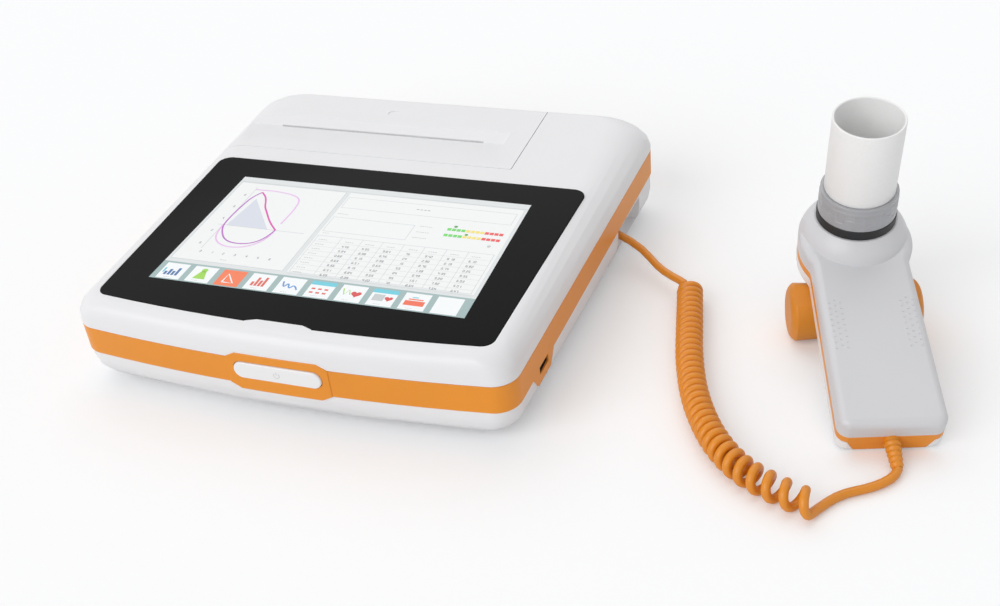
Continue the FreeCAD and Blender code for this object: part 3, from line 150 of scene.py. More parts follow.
# %% Camera
LENS_ROWS = np.array([[0.9428, 0.3239, -0.0791], [0.1191, -0.5488, -0.8274], [-0.3114, 0.7707, -0.5560]])
LENS_PLACE = (0.17226, -0.46752, 0.33718)
LENS_LENGTH, SENSOR_WIDTH = 44.99, 36
lens = bpy.data.cameras.new("lens")
lens.sensor_width = SENSOR_WIDTH
lens.lens = LENS_LENGTH
lens.clip_start, lens.clip_end = 0.01, 50
camera = bpy.data.objects.new("camera", lens)
bpy.context.collection.objects.link(camera)
turn = Matrix([[r, -d, -v] for r, d, v in LENS_ROWS.T.tolist()]).to_4x4()
camera.matrix_world = Matrix.Translation(LENS_PLACE) @ turn
bpy.context.scene.camera = camera
print("lens", lens.lens, "mm at", LENS_PLACE)

# %% [markdown]
# ## Mouldings, metals and rubber
#
# Nearly every surface is moulded plastic. Real mouldings aren't one flat colour: the tool's fine
# spark texture breaks the gloss, and the colour drifts a little where the plastic cooled. Painting
# an image would do it too, but noise on Object coordinates has the same grain size everywhere and
# needs no unwrapping. One function builds the shader, and each finish chooses its own numbers.


# %% Shader builders
def linear(rgb):
    """Screen colour, 0 to 255, to the linear light that shaders use."""
    share = np.asarray(rgb, float) / 255
    return np.where(share <= 0.04045, share / 12.92, ((share + 0.055) / 1.055) ** 2.4)


def shader(name):
    """A new material with its node tree, its main shader and a way to add and join nodes."""
    material = bpy.data.materials.new(name)
    material.use_nodes = True
    tree = material.node_tree
    main = next(n for n in tree.nodes if n.type == "BSDF_PRINCIPLED")

    def add(kind, **values):
        node = tree.nodes.new(kind)
        for key, value in values.items():
            if key in node.inputs:
                node.inputs[key].default_value = value
            else:
                setattr(node, key, value)
        return node

    return material, tree, main, add


def noise(tree, add, per_mm, detail=3.0, where="Object"):
    """Noise with a given number of patches per millimetre."""
    place = add("ShaderNodeTexCoord")
    node = add("ShaderNodeTexNoise", Scale=1000.0 * per_mm, Detail=detail)
    tree.links.new(place.outputs[where], node.inputs["Vector"])
    return node


def finish(name, colour, roughness, grain=1.2, depth=0.02, drift=0.03, spread=0.08, **sockets):
    """A moulded or cut finish: colour drift over centimetres, grain over fractions of a millimetre."""
    material, tree, main, add = shader(name)
    base = linear(colour)
    cloud = noise(tree, add, 0.03, 2.0)
    speck = noise(tree, add, grain * 0.9, 4.0)
    blend = add("ShaderNodeMath", operation="MULTIPLY_ADD")
    tree.links.new(speck.outputs["Fac"], blend.inputs[0])
    blend.inputs[1].default_value = 0.35
    tree.links.new(cloud.outputs["Fac"], blend.inputs[2])
    ramp = add("ShaderNodeValToRGB")
    ramp.color_ramp.elements[0].position = 0.35
    ramp.color_ramp.elements[1].position = 0.95
    ramp.color_ramp.elements[0].color = (*np.clip(base * (1 - drift), 0, 1), 1)
    ramp.color_ramp.elements[1].color = (*np.clip(base * (1 + drift), 0, 1), 1)
    tree.links.new(blend.outputs[0], ramp.inputs["Fac"])
    tree.links.new(ramp.outputs["Color"], main.inputs["Base Color"])
    gloss = add("ShaderNodeMapRange")
    gloss.inputs["To Min"].default_value = max(roughness - spread / 2, 0.02)
    gloss.inputs["To Max"].default_value = min(roughness + spread / 2, 1.0)
    tree.links.new(speck.outputs["Fac"], gloss.inputs["Value"])
    tree.links.new(gloss.outputs["Result"], main.inputs["Roughness"])
    if depth:
        grains = noise(tree, add, grain, 2.0)
        bump = add("ShaderNodeBump", Strength=0.35, Distance=depth / 1000)
        tree.links.new(grains.outputs["Fac"], bump.inputs["Height"])
        tree.links.new(bump.outputs["Normal"], main.inputs["Normal"])
    for key, value in sockets.items():
        main.inputs[key.replace("_", " ")].default_value = value
    return material


# %% [markdown]
# ## The finishes
#
# White is the covers' satin plastic, and the warm orange one is the band, the cord and the rest.
# The handset's upper shell is a shade greyer. Soft vinyl, rubber, steel, brass, circuit board and
# paper are for the parts that show only from behind, from below or with the lid open.

# %% Finishes
white_cover = finish("white_cover", (234, 234, 236), 0.36, 2.2, 0.012, 0.012)
white_gloss = finish("white_gloss", (238, 238, 239), 0.24, 1.6, 0.006, 0.010)
grey_white = finish("grey_white", (209, 209, 212), 0.33, 2.2, 0.014, 0.015)
warm_orange = finish("warm_orange", (233, 144, 26), 0.38, 2.0, 0.014, 0.035)
orange_vinyl = finish("orange_vinyl", (222, 138, 30), 0.34, 1.4, 0.02, 0.05, spread=0.12)
orange_rest_grip = finish("orange_rest_grip", (216, 136, 34), 0.45, 1.6, 0.03, 0.05, spread=0.14)
soft_black = finish("soft_black", (26, 26, 28), 0.5, 1.4, 0.03, 0.12)
foot_rubber = finish("foot_rubber", (52, 52, 54), 0.72, 1.2, 0.06, 0.14)
inner_grey = finish("inner_grey", (120, 122, 126), 0.45, 1.5, 0.03, 0.05)
bright_steel = finish("bright_steel", (196, 197, 200), 0.26, 2.5, 0.01, 0.05, Metallic=1.0)
zinc_sheet = finish("zinc_sheet", (170, 174, 178), 0.4, 0.8, 0.02, 0.08, Metallic=1.0)
gilt_contact = finish("gilt_contact", (214, 176, 98), 0.28, 2.5, 0.01, 0.06, Metallic=1.0)
circuit_green = finish("circuit_green", (30, 92, 58), 0.42, 0.5, 0.03, 0.25)
ceramic_strip = finish("ceramic_strip", (224, 220, 208), 0.5, 1.5, 0.02, 0.04)
platen_rubber = finish("platen_rubber", (38, 38, 40), 0.66, 1.8, 0.04, 0.12)
thermal_paper = finish("thermal_paper", (244, 244, 240), 0.62, 1.0, 0.015, 0.015)
brown_card = finish("brown_card", (176, 146, 108), 0.8, 0.9, 0.05, 0.12)
battery_wrap = finish("battery_wrap", (58, 96, 138), 0.35, 1.0, 0.01, 0.08)
speaker_black = finish("speaker_black", (34, 34, 36), 0.55, 0.7, 0.04, 0.15)
print("finishes", len(bpy.data.materials))

# %% [markdown]
# ## The curly cord
#
# The cord is one orange vinyl lead. It leaves the plug in the console's flank, falls to the floor,
# winds up in a curl whose turns open towards the far end, and rises in an S to the handset's heel.
# A curl could be a mesh tube twisted by a modifier. Here it is more points of the same NURBS spline,
# because then one smooth line runs from plug to strain relief, and its length can be measured.
# The curl's middle line is itself a NURBS line past seven points, and the helix follows points
# read from it. Its turns advance by little more than the cord's own thickness at first, and by
# twice that near the end.

# %% Cord: route and line
LEAD_FROM_CONSOLE = [(0.0299, 0.0474, 0.0168), (0.0417, 0.0467, 0.012), (0.055, 0.0324, 0.008)]
COIL_MIDDLE = [(0.0718, 0.0225, 0.0063), (0.0770, -0.003, 0.0063), (0.0828, -0.033, 0.0063),
               (0.0916, -0.062, 0.0063), (0.106, -0.0885, 0.0063), (0.1246, -0.1048, 0.0063),
               (0.1460, -0.1117, 0.0063)]
LEAD_TO_HANDSET = [(0.1472, -0.1095, 0.0020), (0.1548, -0.0985, 0.0020), (0.1660, -0.0923, 0.0020),
                   (0.1741, -0.0845, 0.0025), (0.1745, -0.0803, 0.0028)]
CORD_RADIUS = 0.0019
COIL_RADIUS = 0.0044
TURN_POINTS = 14
CLOSE_PITCH = 0.00415
OPEN_PITCH = 0.00875
OPENS_AT = 0.66
FIRST_ANGLE = 2.2
LAST_ANGLE = 4.0


def cord_line(name, points):
    """A curve object of one open quadratic NURBS line, which starts and ends at its end points."""
    path = bpy.data.curves.new(name, "CURVE")
    path.dimensions = "3D"
    line = path.splines.new("NURBS")
    line.points.add(len(points) - 1)
    line.points.foreach_set("co", np.c_[points, np.ones(len(points))].ravel())
    line.order_u = 3
    line.use_endpoint_u = True
    return bpy.data.objects.new(name, path)


def points_on(thing):
    """Points along a curve that has no bevel, as Blender itself lays them out."""
    mesh = bpy.data.meshes.new_from_object(thing)
    points = np.empty(len(mesh.vertices) * 3)
    mesh.vertices.foreach_get("co", points)
    bpy.data.meshes.remove(mesh)
    return points.reshape(-1, 3)


def length_of(points):
    """The sum of the distances between neighbouring points."""
    return np.linalg.norm(np.diff(points, axis=0), axis=1).sum()


print("points of the route", len(LEAD_FROM_CONSOLE) + len(COIL_MIDDLE) + len(LEAD_TO_HANDSET))

# %% [markdown]
# ## The curl itself
#
# A helix round a bent line needs a direction across it at every point. A full moving frame would
# be one way, but this line stays level, so across is simply the way ahead turned a quarter, and up
# is up. The first loop starts a little narrower, where the lead pulls it in.


# %% Cord: the helix and the whole line
def helix_points(middle):
    """The middle line plus a circle across it, whose angle grows by one turn in each pitch.

    The pitch is trimmed a little, so that the circle starts and ends at the angles given."""
    step = np.linalg.norm(np.diff(middle, axis=0), axis=1)
    run = np.concatenate([[0], np.cumsum(step)])
    opening = np.clip((run / run[-1] - OPENS_AT) / (1 - OPENS_AT), 0, 1) ** 1.3
    pitch = CLOSE_PITCH + (OPEN_PITCH - CLOSE_PITCH) * opening
    angle = np.concatenate([[0], np.cumsum(step / pitch[1:])])
    part_turn = (LAST_ANGLE - FIRST_ANGLE) / (2 * np.pi)
    turns = round(angle[-1] - part_turn) + part_turn
    angle *= 2 * np.pi * turns / angle[-1]
    wanted = np.linspace(0, angle[-1], int(turns * TURN_POINTS))
    at = np.interp(wanted, angle, run)
    x, y, z = (np.interp(at, run, middle[:, axis]) for axis in range(3))
    forward = np.gradient(np.stack([x, y], -1), axis=0)
    forward /= np.linalg.norm(forward, axis=1, keepdims=True)
    radius = COIL_RADIUS * (1 - 0.25 * np.exp(-wanted / 1.2))
    across = radius * np.cos(wanted + FIRST_ANGLE)
    up = radius * np.sin(wanted + FIRST_ANGLE)
    return np.stack([x - forward[:, 1] * across, y + forward[:, 0] * across, z + up], -1)


middle_line = cord_line("coil_middle", COIL_MIDDLE)
middle_line.data.resolution_u = 60
helix = helix_points(points_on(middle_line))
bpy.data.objects.remove(middle_line)
curly_cord = cord_line("curly_cord", np.concatenate([LEAD_FROM_CONSOLE, helix, LEAD_TO_HANDSET]))
curly_cord.data.resolution_u = 3
CORD_LENGTH = length_of(points_on(curly_cord))
curly_cord.data.bevel_depth = CORD_RADIUS
curly_cord.data.bevel_resolution = 4
curly_cord.data.materials.append(orange_vinyl)
bpy.context.collection.objects.link(curly_cord)
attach(curly_cord, "console")
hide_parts("cord_lead_console", "cord_coil", "cord_lead_handset")
print("cord points", len(helix), "line length", round(CORD_LENGTH, 4), "m")

# %% [markdown]
# ## The covers
#
# The covers are thin shells with openings, seams and rounded rims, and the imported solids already
# have those exact shapes. They come as loose flat triangles, though, which would show as facets.
# Modelling them again would risk gaps against their neighbours. So each is copied, its doubled
# points are merged, flat regions become single faces, and a small bevel breaks every crisp edge,
# since a moulded edge is never truly sharp and its thin highlight is what the eye reads as plastic.


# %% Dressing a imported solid
def dressed(node, body, material, edge=0.25, crisp=28, segments=2, flat=2.0):
    """A merged copy of a solid: nearly flat regions joined, crisp edges bevelled, the rest smooth."""
    mesh = frame["nodes"][node].data.copy()
    mesh.name = "dressed_" + node
    for layer in [a for a in mesh.attributes if a.name == "custom_normal"]:
        mesh.attributes.remove(layer)
    work = bmesh.new()
    work.from_mesh(mesh)
    bmesh.ops.remove_doubles(work, verts=work.verts, dist=1e-5)
    bmesh.ops.dissolve_limit(work, angle_limit=math.radians(flat), verts=work.verts, edges=work.edges)
    work.to_mesh(mesh)
    work.free()
    mesh.materials.clear()
    mesh.materials.append(material)
    mesh.polygons.foreach_set("use_smooth", [True] * len(mesh.polygons))
    thing = bpy.data.objects.new("dressed_" + node, mesh)
    bpy.context.collection.objects.link(thing)
    sharpen(thing, crisp)
    if edge:
        bevel = thing.modifiers.new("edge", "BEVEL")
        bevel.width = edge / 1000
        bevel.segments = segments
        bevel.limit_method = "ANGLE"
        bevel.angle_limit = math.radians(crisp + 4)
        bevel.harden_normals = False
        bevel.use_clamp_overlap = True
    normal = thing.modifiers.new("shading", "WEIGHTED_NORMAL")
    normal.keep_sharp = True
    normal.weight = 60
    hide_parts(node)
    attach(thing, body)
    return thing


cover = dressed("top_cover", "console", white_cover, 0.22, flat=0.4)
lid = dressed("printer_lid", "lid", white_cover, 0.22)
lower = dressed("bottom_cover", "console", white_cover, 0.2)
band = dressed("side_band", "console", warm_orange, 0.2, flat=0.4)
button = dressed("power_button", "button", white_gloss, 0.12)
print("faces", [len(o.data.polygons) for o in (cover, lid, lower, band, button)])

# %% [markdown]
# ## The handset's shells
#
# The handset has a greyer upper shell with a domed collar, an orange band between its halves, a
# white lower shell and an orange rest under its head. They are dressed in the same way. The black
# seal and the smoky cup of the turbine stand in the collar.

# %% Handset finishes and solids
hand_top = dressed("handset_top_shell", "console", grey_white, 0.15, 32)
hand_low = dressed("handset_bottom_shell", "console", white_gloss, 0.15, 32)
hand_band = dressed("handset_band", "console", warm_orange, 0.12, 32)
rest = dressed("handset_rest", "console", orange_rest_grip, 0.2, 34)
print("handset faces", [len(o.data.polygons) for o in (hand_top, hand_low, hand_band, rest)])

# %% [markdown]
# ## The touch glass and its picture
#
# The front is one sheet of black-printed glass, and the display glows through its clear middle. A
# transparent sheet over a lit panel would cost many light bounces and vanish in the export, so the
# sheet stays black and glossy, and the picture is laid on it as paper-thin shapes under the same
# gloss. Every shape is a rectangle, a disc or a stroke, worked out in millimetres from the lower
# left corner of the display. What it shows is generic: a breathing loop, a table and ten tiles.

# %% Flat shapes of the screen
LCD_LEFT, LCD_LOW, LCD_WIDE, LCD_HIGH = -76.2, -78.0, 152.4, 91.4
screen_shapes = {}


def add_shape(colour, layer, outline):
    """Keeps a filled outline of (across, up) points, a few hundredths of a millimetre up."""
    screen_shapes.setdefault(colour, []).append((layer, np.asarray(outline, float)))


def bar(colour, layer, left, low, wide, high):
    """A rectangle from its lower left corner."""
    add_shape(colour, layer, [[left, low], [left + wide, low], [left + wide, low + high], [left, low + high]])


def disc(colour, layer, x, y, radius, steps=20):
    """A circle: x + r cos a, y + r sin a."""
    a = np.arange(steps) * 2 * np.pi / steps
    add_shape(colour, layer, np.c_[x + radius * np.cos(a), y + radius * np.sin(a)])


def stroke(colour, layer, points, thick):
    """A line of even thickness: each piece of the path is pushed half the thickness either way."""
    points = np.asarray(points, float)
    ahead = np.gradient(points, axis=0)
    ahead /= np.linalg.norm(ahead, axis=1, keepdims=True) + 1e-9
    side = np.c_[-ahead[:, 1], ahead[:, 0]] * thick / 2
    for a, b, c, d in zip(points[:-1] + side[:-1], points[:-1] - side[:-1],
                          points[1:] - side[1:], points[1:] + side[1:]):
        add_shape(colour, layer, [a, b, c, d])


def soft_line(points, count=10):
    """A smooth line past a few points: each step is a quadratic B-spline between midpoints."""
    points = np.asarray(points, float)
    middles = (points[1:] + points[:-1]) / 2
    middles[0], middles[-1] = points[0], points[-1]
    share = np.linspace(0, 1, count, endpoint=False)[:, None]
    spans = [(1 - share) ** 2 * a + 2 * share * (1 - share) * b + share ** 2 * c
             for a, b, c in zip(middles[:-1], points[1:-1], middles[1:])]
    return np.concatenate(spans + [middles[-1:]])


print("points on a soft line", len(soft_line([(0, 0), (1, 0), (1, 1)])))

# %% [markdown]
# ## Small figures
#
# The display's figures are about a millimetre and a half high. Text objects would need a font and
# thousands of points. At this size a figure of seven strokes reads the same, as on a calculator,
# and each stroke is one rectangle.

# %% Figures of seven strokes
SEGMENTS = {0: "abcdef", 1: "bc", 2: "abged", 3: "abgcd", 4: "fgbc", 5: "afgcd", 6: "afgedc", 7: "abc",
            8: "abcdefg", 9: "abcdfg"}


def digit(colour, layer, value, left, low, high):
    """A seven-stroke number: three level strokes and four upright ones."""
    wide, thick = high * 0.52, high * 0.13
    upright = {"f": (0, 0.5), "b": (1, 0.5), "e": (0, 0), "c": (1, 0)}
    level = {"a": 1.0, "g": 0.5, "d": 0.0}
    for part in SEGMENTS[value]:
        if part in level:
            bar(colour, layer, left, low + level[part] * (high - thick), wide, thick)
        else:
            side, rise = upright[part]
            bar(colour, layer, left + side * (wide - thick), low + rise * high, thick, high * 0.5)


def number(colour, layer, text, left, low, high):
    """Digits side by side, with a small square for a point and a short bar for a dash."""
    for mark in text:
        if mark == ".":
            bar(colour, layer, left, low, high * 0.14, high * 0.14)
            left += high * 0.3
        elif mark == "-":
            bar(colour, layer, left, low + high * 0.42, high * 0.5, high * 0.13)
            left += high * 0.72
        else:
            digit(colour, layer, int(mark), left, low, high)
            left += high * 0.72


print("strokes of an 8", len(SEGMENTS[8]))

# %% [markdown]
# ## Panels and the breathing loop
#
# The left panel shows how fast the breath flows against how much has flowed: out along the upper
# arc, in along the lower one. The curves are soft lines past a few chosen points, because a drawn
# curve in a picture has no formula. Places are millimetres up from the display's lower edge.

# %% Panels and the breathing loop
RULE = 0.22
SMALL_FIGURE = 1.5
bar("panel_grey", 1, 0, 0, LCD_WIDE, LCD_HIGH)
bar("panel_light", 2, 1.5, 16.6, 57.6, 69.6)
bar("panel_light", 2, 61.6, 16.6, 89.0, 69.6)
for left, low, wide, high in ((1.5, 16.6, 57.6, 69.6), (62.4, 16.9, 86.6, 30.6), (62.4, 72.6, 86.0, 9.6),
                              (62.6, 51.4, 41.6, 12.6)):
    for frame_bar in ((left, low, wide, RULE), (left, low + high, wide, RULE), (left, low, RULE, high),
                      (left + wide, low, RULE, high + RULE)):
        bar("rule_grey", 3, *frame_bar)
bar("rule_grey", 3, 0, 86.9, LCD_WIDE, 0.25)
add_shape("wedge_blue", 3, [[16.6, 72.4], [35.6, 47.4], [13.6, 47.4]])
bar("rule_grey", 4, 9.0, 47.2, 46.0, 0.25)
bar("rule_grey", 4, 11.8, 26.5, 0.25, 56.0)
stroke("loop_pale", 5, soft_line([[12.2, 80.6], [16, 80.6], [23, 80.9], [34, 79.2], [39.2, 75.5], [40.4, 67],
                                  [40.2, 60], [39.9, 53.2]]), 0.75)
stroke("loop_pale", 5, soft_line([[12.0, 47.4], [12.2, 41.0], [15.0, 34.0], [21, 30.2], [28, 30.0],
                                  [34.2, 32.6], [38.4, 38.0], [39.8, 43.6], [39.7, 47.4]]), 0.75)
stroke("loop_violet", 6, soft_line([[16.6, 78.4], [13.8, 74], [12.7, 66], [12.0, 57], [12.0, 47.6],
                                    [14.0, 42.4], [18.2, 36.2], [23.6, 33.4], [31.0, 33.6], [36.2, 36.8],
                                    [39.0, 42.6], [39.8, 47.4]]), 0.8)
stroke("loop_magenta", 6, soft_line([[16.6, 78.6], [19.8, 75.8], [22.4, 71.4], [24.6, 66.0], [28.4, 61.0],
                                     [32.2, 55.6], [36.2, 51.0], [39.9, 47.4]]), 0.85)
for k in range(7):
    number("ink_grey", 5, str(k), 12.6 + 6.0 * k, 23.4, SMALL_FIGURE)
number("ink_grey", 5, "---", 26.0, 18.6, 1.6)
for k in range(5):
    number("ink_grey", 5, str(2 * k), 8.6, 30.0 + 11.0 * k, SMALL_FIGURE)
print("shapes so far", sum(len(v) for v in screen_shapes.values()))

# %% [markdown]
# ## Gauges and the table
#
# The right panel has a header, two rows of twelve blocks that run from green to red, and a table
# of figures. The figures are invented: a seeded random draw fills the table the same way each time.

# %% Gauges and the table
GAUGE_PITCH, GAUGE_DROP = 2.3, 4.9
ROW_PITCH, ROW_COUNT = 3.85, 8
number("ink_grey", 5, "----", 99.8, 76.4, 2.6)
number("ink_grey", 5, "-----", 63.4, 66.4, SMALL_FIGURE)
for row in range(2):
    number("ink_grey", 5, "------", 107.0, 63.2 - GAUGE_DROP * row, SMALL_FIGURE)
    for k in range(12):
        shade = ("gauge_green", "gauge_yellow", "gauge_red")[k // 4]
        bar(shade, 5, 120.6 + GAUGE_PITCH * k, 62.9 - GAUGE_DROP * row, 1.9, 2.0)
disc("gauge_mark", 6, 123.9, 66.6, 0.9)
disc("gauge_mark", 6, 131.0, 60.9, 0.8)
number("ink_grey", 5, "-------", 107.0, 53.6, 1.4)
number("ink_grey", 5, "12", 143.2, 52.9, SMALL_FIGURE)
number("ink_grey", 5, "---", 63.6, 49.2, SMALL_FIGURE)
columns = np.array([64.2, 77.6, 87.8, 98.2, 108.8, 118.8, 129.4, 139.6])
for x in (74.6, 85.2, 95.4, 105.8, 116.0, 126.6, 137.0):
    bar("rule_grey", 4, x, 16.9, 0.18, 30.6)
rows = 43.6 - ROW_PITCH * np.arange(ROW_COUNT)
figures = np.random.default_rng(7).integers(0, 10, (ROW_COUNT, len(columns), 3))
for i, low in enumerate(rows):
    bar("rule_grey", 4, 62.4, low - 1.0, 86.6, 0.12)
    for j, left in enumerate(columns):
        a, b, c = figures[i, j]
        text = "----" if i == 0 or j == 0 else (f"{a}{b}" if j == 4 else f"{a}.{b}{c}")
        number("ink_grey", 5, text, left + (0.6 if j == 4 else 0), low, 1.55)
print("figures in the table", figures[..., 0].size)

# %% [markdown]
# ## The bar of tiles
#
# Ten square tiles run along the bottom, each with a small picture: charts, a bell, a zigzag, hearts
# and a printer. They are simple flat signs, so a few rectangles, discs and strokes make each one,
# placed from the tile's own left edge.

# %% Tiles and their small pictures
TILE_PITCH, TILE_SIZE = 14.83, 11.9
bar("toolbar_teal", 3, 0, 0, LCD_WIDE, 13.9)
tile_left = 2.9 + TILE_PITCH * np.arange(10)
for k, left in enumerate(tile_left):
    bar("tile_orange" if k == 2 else "tile_white", 4, left, 0.7, TILE_SIZE, TILE_SIZE)
    if k not in (2, 9):
        number("ink_grey", 5, "----", left + 3.4, 1.3, 1.1)


def bars(colour, tile, heights, wide):
    """A little bar chart on a tile."""
    for k, high in enumerate(heights):
        bar(colour, 5, tile_left[tile] + 2.2 + (wide + 0.5) * k, 3.4, wide, high)


def heart(colour, x, y, size):
    """x = 16 sin^3 t, y = 13 cos t - 5 cos 2t - 2 cos 3t - cos 4t, scaled to size."""
    t = np.linspace(0, 2 * np.pi, 28, endpoint=False)
    across = 16 * np.sin(t) ** 3
    up = 13 * np.cos(t) - 5 * np.cos(2 * t) - 2 * np.cos(3 * t) - np.cos(4 * t)
    add_shape(colour, 6, np.c_[x + across * size / 32, y + up * size / 32][::-1])


bars("icon_navy", 0, [2.6, 4.4, 3.2, 5.8], 1.4)
bar("icon_cyan", 5, tile_left[0] + 1.0, 5.0, 0.9, 3.6)
add_shape("icon_lime", 5, [[tile_left[1] + 2.8, 3.2], [tile_left[1] + 9.0, 3.2], [tile_left[1] + 7.0, 9.4],
                           [tile_left[1] + 4.8, 9.4]])
disc("icon_lime", 5, tile_left[1] + 5.9, 9.8, 1.5)
stroke("tile_white", 5, [[tile_left[2] + 3.2, 3.2], [tile_left[2] + 3.6, 9.6], [tile_left[2] + 8.6, 3.2],
                         [tile_left[2] + 3.2, 3.2]], 0.8)
bars("icon_red", 3, [3.0, 6.4, 4.4, 7.0], 1.3)
zigzag = [[1.8, 9.4], [3.2, 4.0], [4.6, 9.0], [6.2, 4.0], [7.8, 8.2], [10.2, 4.2]]
stroke("icon_blue", 5, soft_line([[tile_left[4] + x, y] for x, y in zigzag]), 0.8)
for tile in (5, 7):
    bar("icon_cyan", 5, tile_left[tile], 9.8, TILE_SIZE, 2.8)
for k in range(6):
    bar("icon_red", 5, tile_left[5] + 1.6 + 3.1 * (k % 3), 3.6 + 2.8 * (k // 3), 1.8, 1.1)
stroke("icon_lime", 5, [[tile_left[6] + 1.2, 9.8], [tile_left[6] + 2.8, 5.4], [tile_left[6] + 4.2, 9.2],
                        [tile_left[6] + 5.6, 5.8]], 0.6)
heart("icon_crimson", tile_left[6] + 8.2, 6.6, 4.8)
bar("rule_grey", 5, tile_left[7] + 1.4, 4.2, 5.2, 4.6)
heart("icon_crimson", tile_left[7] + 8.8, 6.2, 3.8)
bar("icon_vermilion", 5, tile_left[8] + 1.4, 3.8, 9.2, 3.4)
bar("icon_vermilion", 5, tile_left[8] + 2.6, 7.8, 6.8, 0.8)
bar("icon_cyan", 5, tile_left[8] + 3.8, 9.2, 3.0, 0.7)
print("screen shapes", sum(len(v) for v in screen_shapes.values()), "colours", len(screen_shapes))

# %% [markdown]
# ## Light behind the picture
#
# A display is its own soft light. Each colour gets a gloss coat like the glass, a little glow of
# its own colour, and the display's fine dot grid as a faint ripple of brightness. One mesh holds
# all shapes of a colour, so the picture stays a handful of objects.

# %% Screen finishes and meshes
SCREEN_COLOURS = {
    "panel_grey": (214, 218, 219), "panel_light": (232, 234, 234), "rule_grey": (190, 194, 196),
    "wedge_blue": (206, 211, 222), "loop_pale": (224, 176, 226), "loop_violet": (176, 96, 190),
    "loop_magenta": (214, 60, 168), "ink_grey": (118, 120, 124), "gauge_green": (96, 206, 84),
    "gauge_yellow": (236, 216, 110), "gauge_red": (226, 66, 66), "gauge_mark": (66, 150, 66),
    "toolbar_teal": (150, 174, 174), "tile_white": (236, 239, 240), "tile_orange": (236, 112, 58),
    "icon_navy": (58, 104, 162), "icon_cyan": (96, 196, 214), "icon_lime": (148, 206, 60),
    "icon_red": (214, 88, 70), "icon_blue": (96, 146, 206), "icon_crimson": (206, 52, 48),
    "icon_vermilion": (232, 96, 58)}


def lit_picture(name, colour):
    """Gloss-coated colour with a glow, rippled by the display's dot grid."""
    material, tree, main, add = shader(name)
    base = linear(colour)
    place = add("ShaderNodeTexCoord")
    dots = add("ShaderNodeTexWave", Scale=1000 / 0.7, Distortion=0.0)
    tree.links.new(place.outputs["Object"], dots.inputs["Vector"])
    ramp = add("ShaderNodeValToRGB")
    ramp.color_ramp.elements[0].color = (*base * 0.97, 1)
    ramp.color_ramp.elements[1].color = (*np.clip(base * 1.03, 0, 1), 1)
    tree.links.new(dots.outputs["Fac"], ramp.inputs["Fac"])
    tree.links.new(ramp.outputs["Color"], main.inputs["Base Color"])
    main.inputs["Roughness"].default_value = 0.22
    main.inputs["Emission Color"].default_value = (*base, 1)
    main.inputs["Emission Strength"].default_value = 0.12
    return material


for colour, shapes in screen_shapes.items():
    vertices, faces, start = [], [], 0
    for layer, outline in shapes:
        after = np.roll(outline, -1, 0)
        turns_left = np.sum(outline[:, 0] * after[:, 1] - outline[:, 1] * after[:, 0]) > 0
        outline = outline if turns_left else outline[::-1]
        flat = on_console(outline[:, 0] + LCD_LEFT, outline[:, 1] + LCD_LOW, 0.012 * layer + 0.01)
        vertices.append(flat)
        faces.append(list(range(start, start + len(flat))))
        start += len(flat)
    piece("picture_" + colour, np.concatenate(vertices), faces, "console",
          lit_picture(colour, SCREEN_COLOURS[colour]), smooth=False, weld=False)

black_glass = finish("black_glass", (17, 17, 18), 0.1, 0.6, 0.0, 0.06, spread=0.04, Specular_IOR_Level=0.03)
dressed("touch_glass", "console", black_glass, 0.15)
print("picture pieces", len(screen_shapes))

# %% [markdown]
# ## The power sign
#
# The pill-shaped bar in front is the power button, and it carries the usual broken ring with a
# stroke, printed in pale grey. A decal image would be one way. It is only a ring and a bar, so two
# flat strokes a few hundredths of a millimetre proud of the button do it, and ride on the button.

# %% Power sign on the button
SIGN_X, SIGN_Y, SIGN_Z = 0.9, -109.63, -18.9
print_grey = finish("print_grey", (202, 203, 206), 0.4, 1.6, 0.0, 0.03)
sweep = np.radians(np.linspace(128, 412, 40))
ring = np.stack([np.c_[r * np.cos(sweep), r * np.sin(sweep)] for r in (1.15, 1.5)])
ring_points = on_console(SIGN_X + ring[..., 0], SIGN_Y, SIGN_Z + ring[..., 1])
grid("power_ring", ring_points, "button", print_grey, smooth=False)
mark = np.array([[[-0.18, 0.3], [0.18, 0.3]], [[-0.18, 1.9], [0.18, 1.9]]])
mark_points = on_console(SIGN_X + mark[..., 0], SIGN_Y, SIGN_Z + mark[..., 1])
grid("power_stroke", mark_points, "button", print_grey, smooth=False)
print("power sign", ring_points.shape[1], "steps")

# %% [markdown]
# ## The turbine and its tube
#
# A clear cup stands in the handset's collar and holds a white card tube to breathe through. Both
# are turned round one axis that leans 8 degrees to the head. Turning the finished objects would
# slide their patterns, so one more function leans whole arrays of points instead.

# %% The leaning axis
TURBINE_TILT = math.radians(8)
COLLAR_X, COLLAR_Z = 103.5, 25.0


def on_turbine(x, y, h):
    """Leans by the tilt about y', then stands on the collar. Gives metres."""
    c, s = math.cos(TURBINE_TILT), math.sin(TURBINE_TILT)
    x, y, h = np.broadcast_arrays(np.asarray(x, float), y, h)
    return on_handset(COLLAR_X + x * c + h * s, y, COLLAR_Z - x * s + h * c)


print("foot of the axis", on_turbine(0, 0, 0).round(4))

# %% [markdown]
# ## The smoky cup
#
# The cup's outer wall isn't smooth: it has a step and a row of small windows. A bump map would look
# flat in outline, so the wall's radius is a function of angle and height, and the windows are
# pressed in by a quarter of a millimetre.


# %% Smoky cup with its windows
def edge_step(value, at, width):
    """0 before a place, 1 after it, with a smooth ramp of that width: 3 s^2 - 2 s^3."""
    s = np.clip((value - at) / width + 0.5, 0, 1)
    return s * s * (3 - 2 * s)


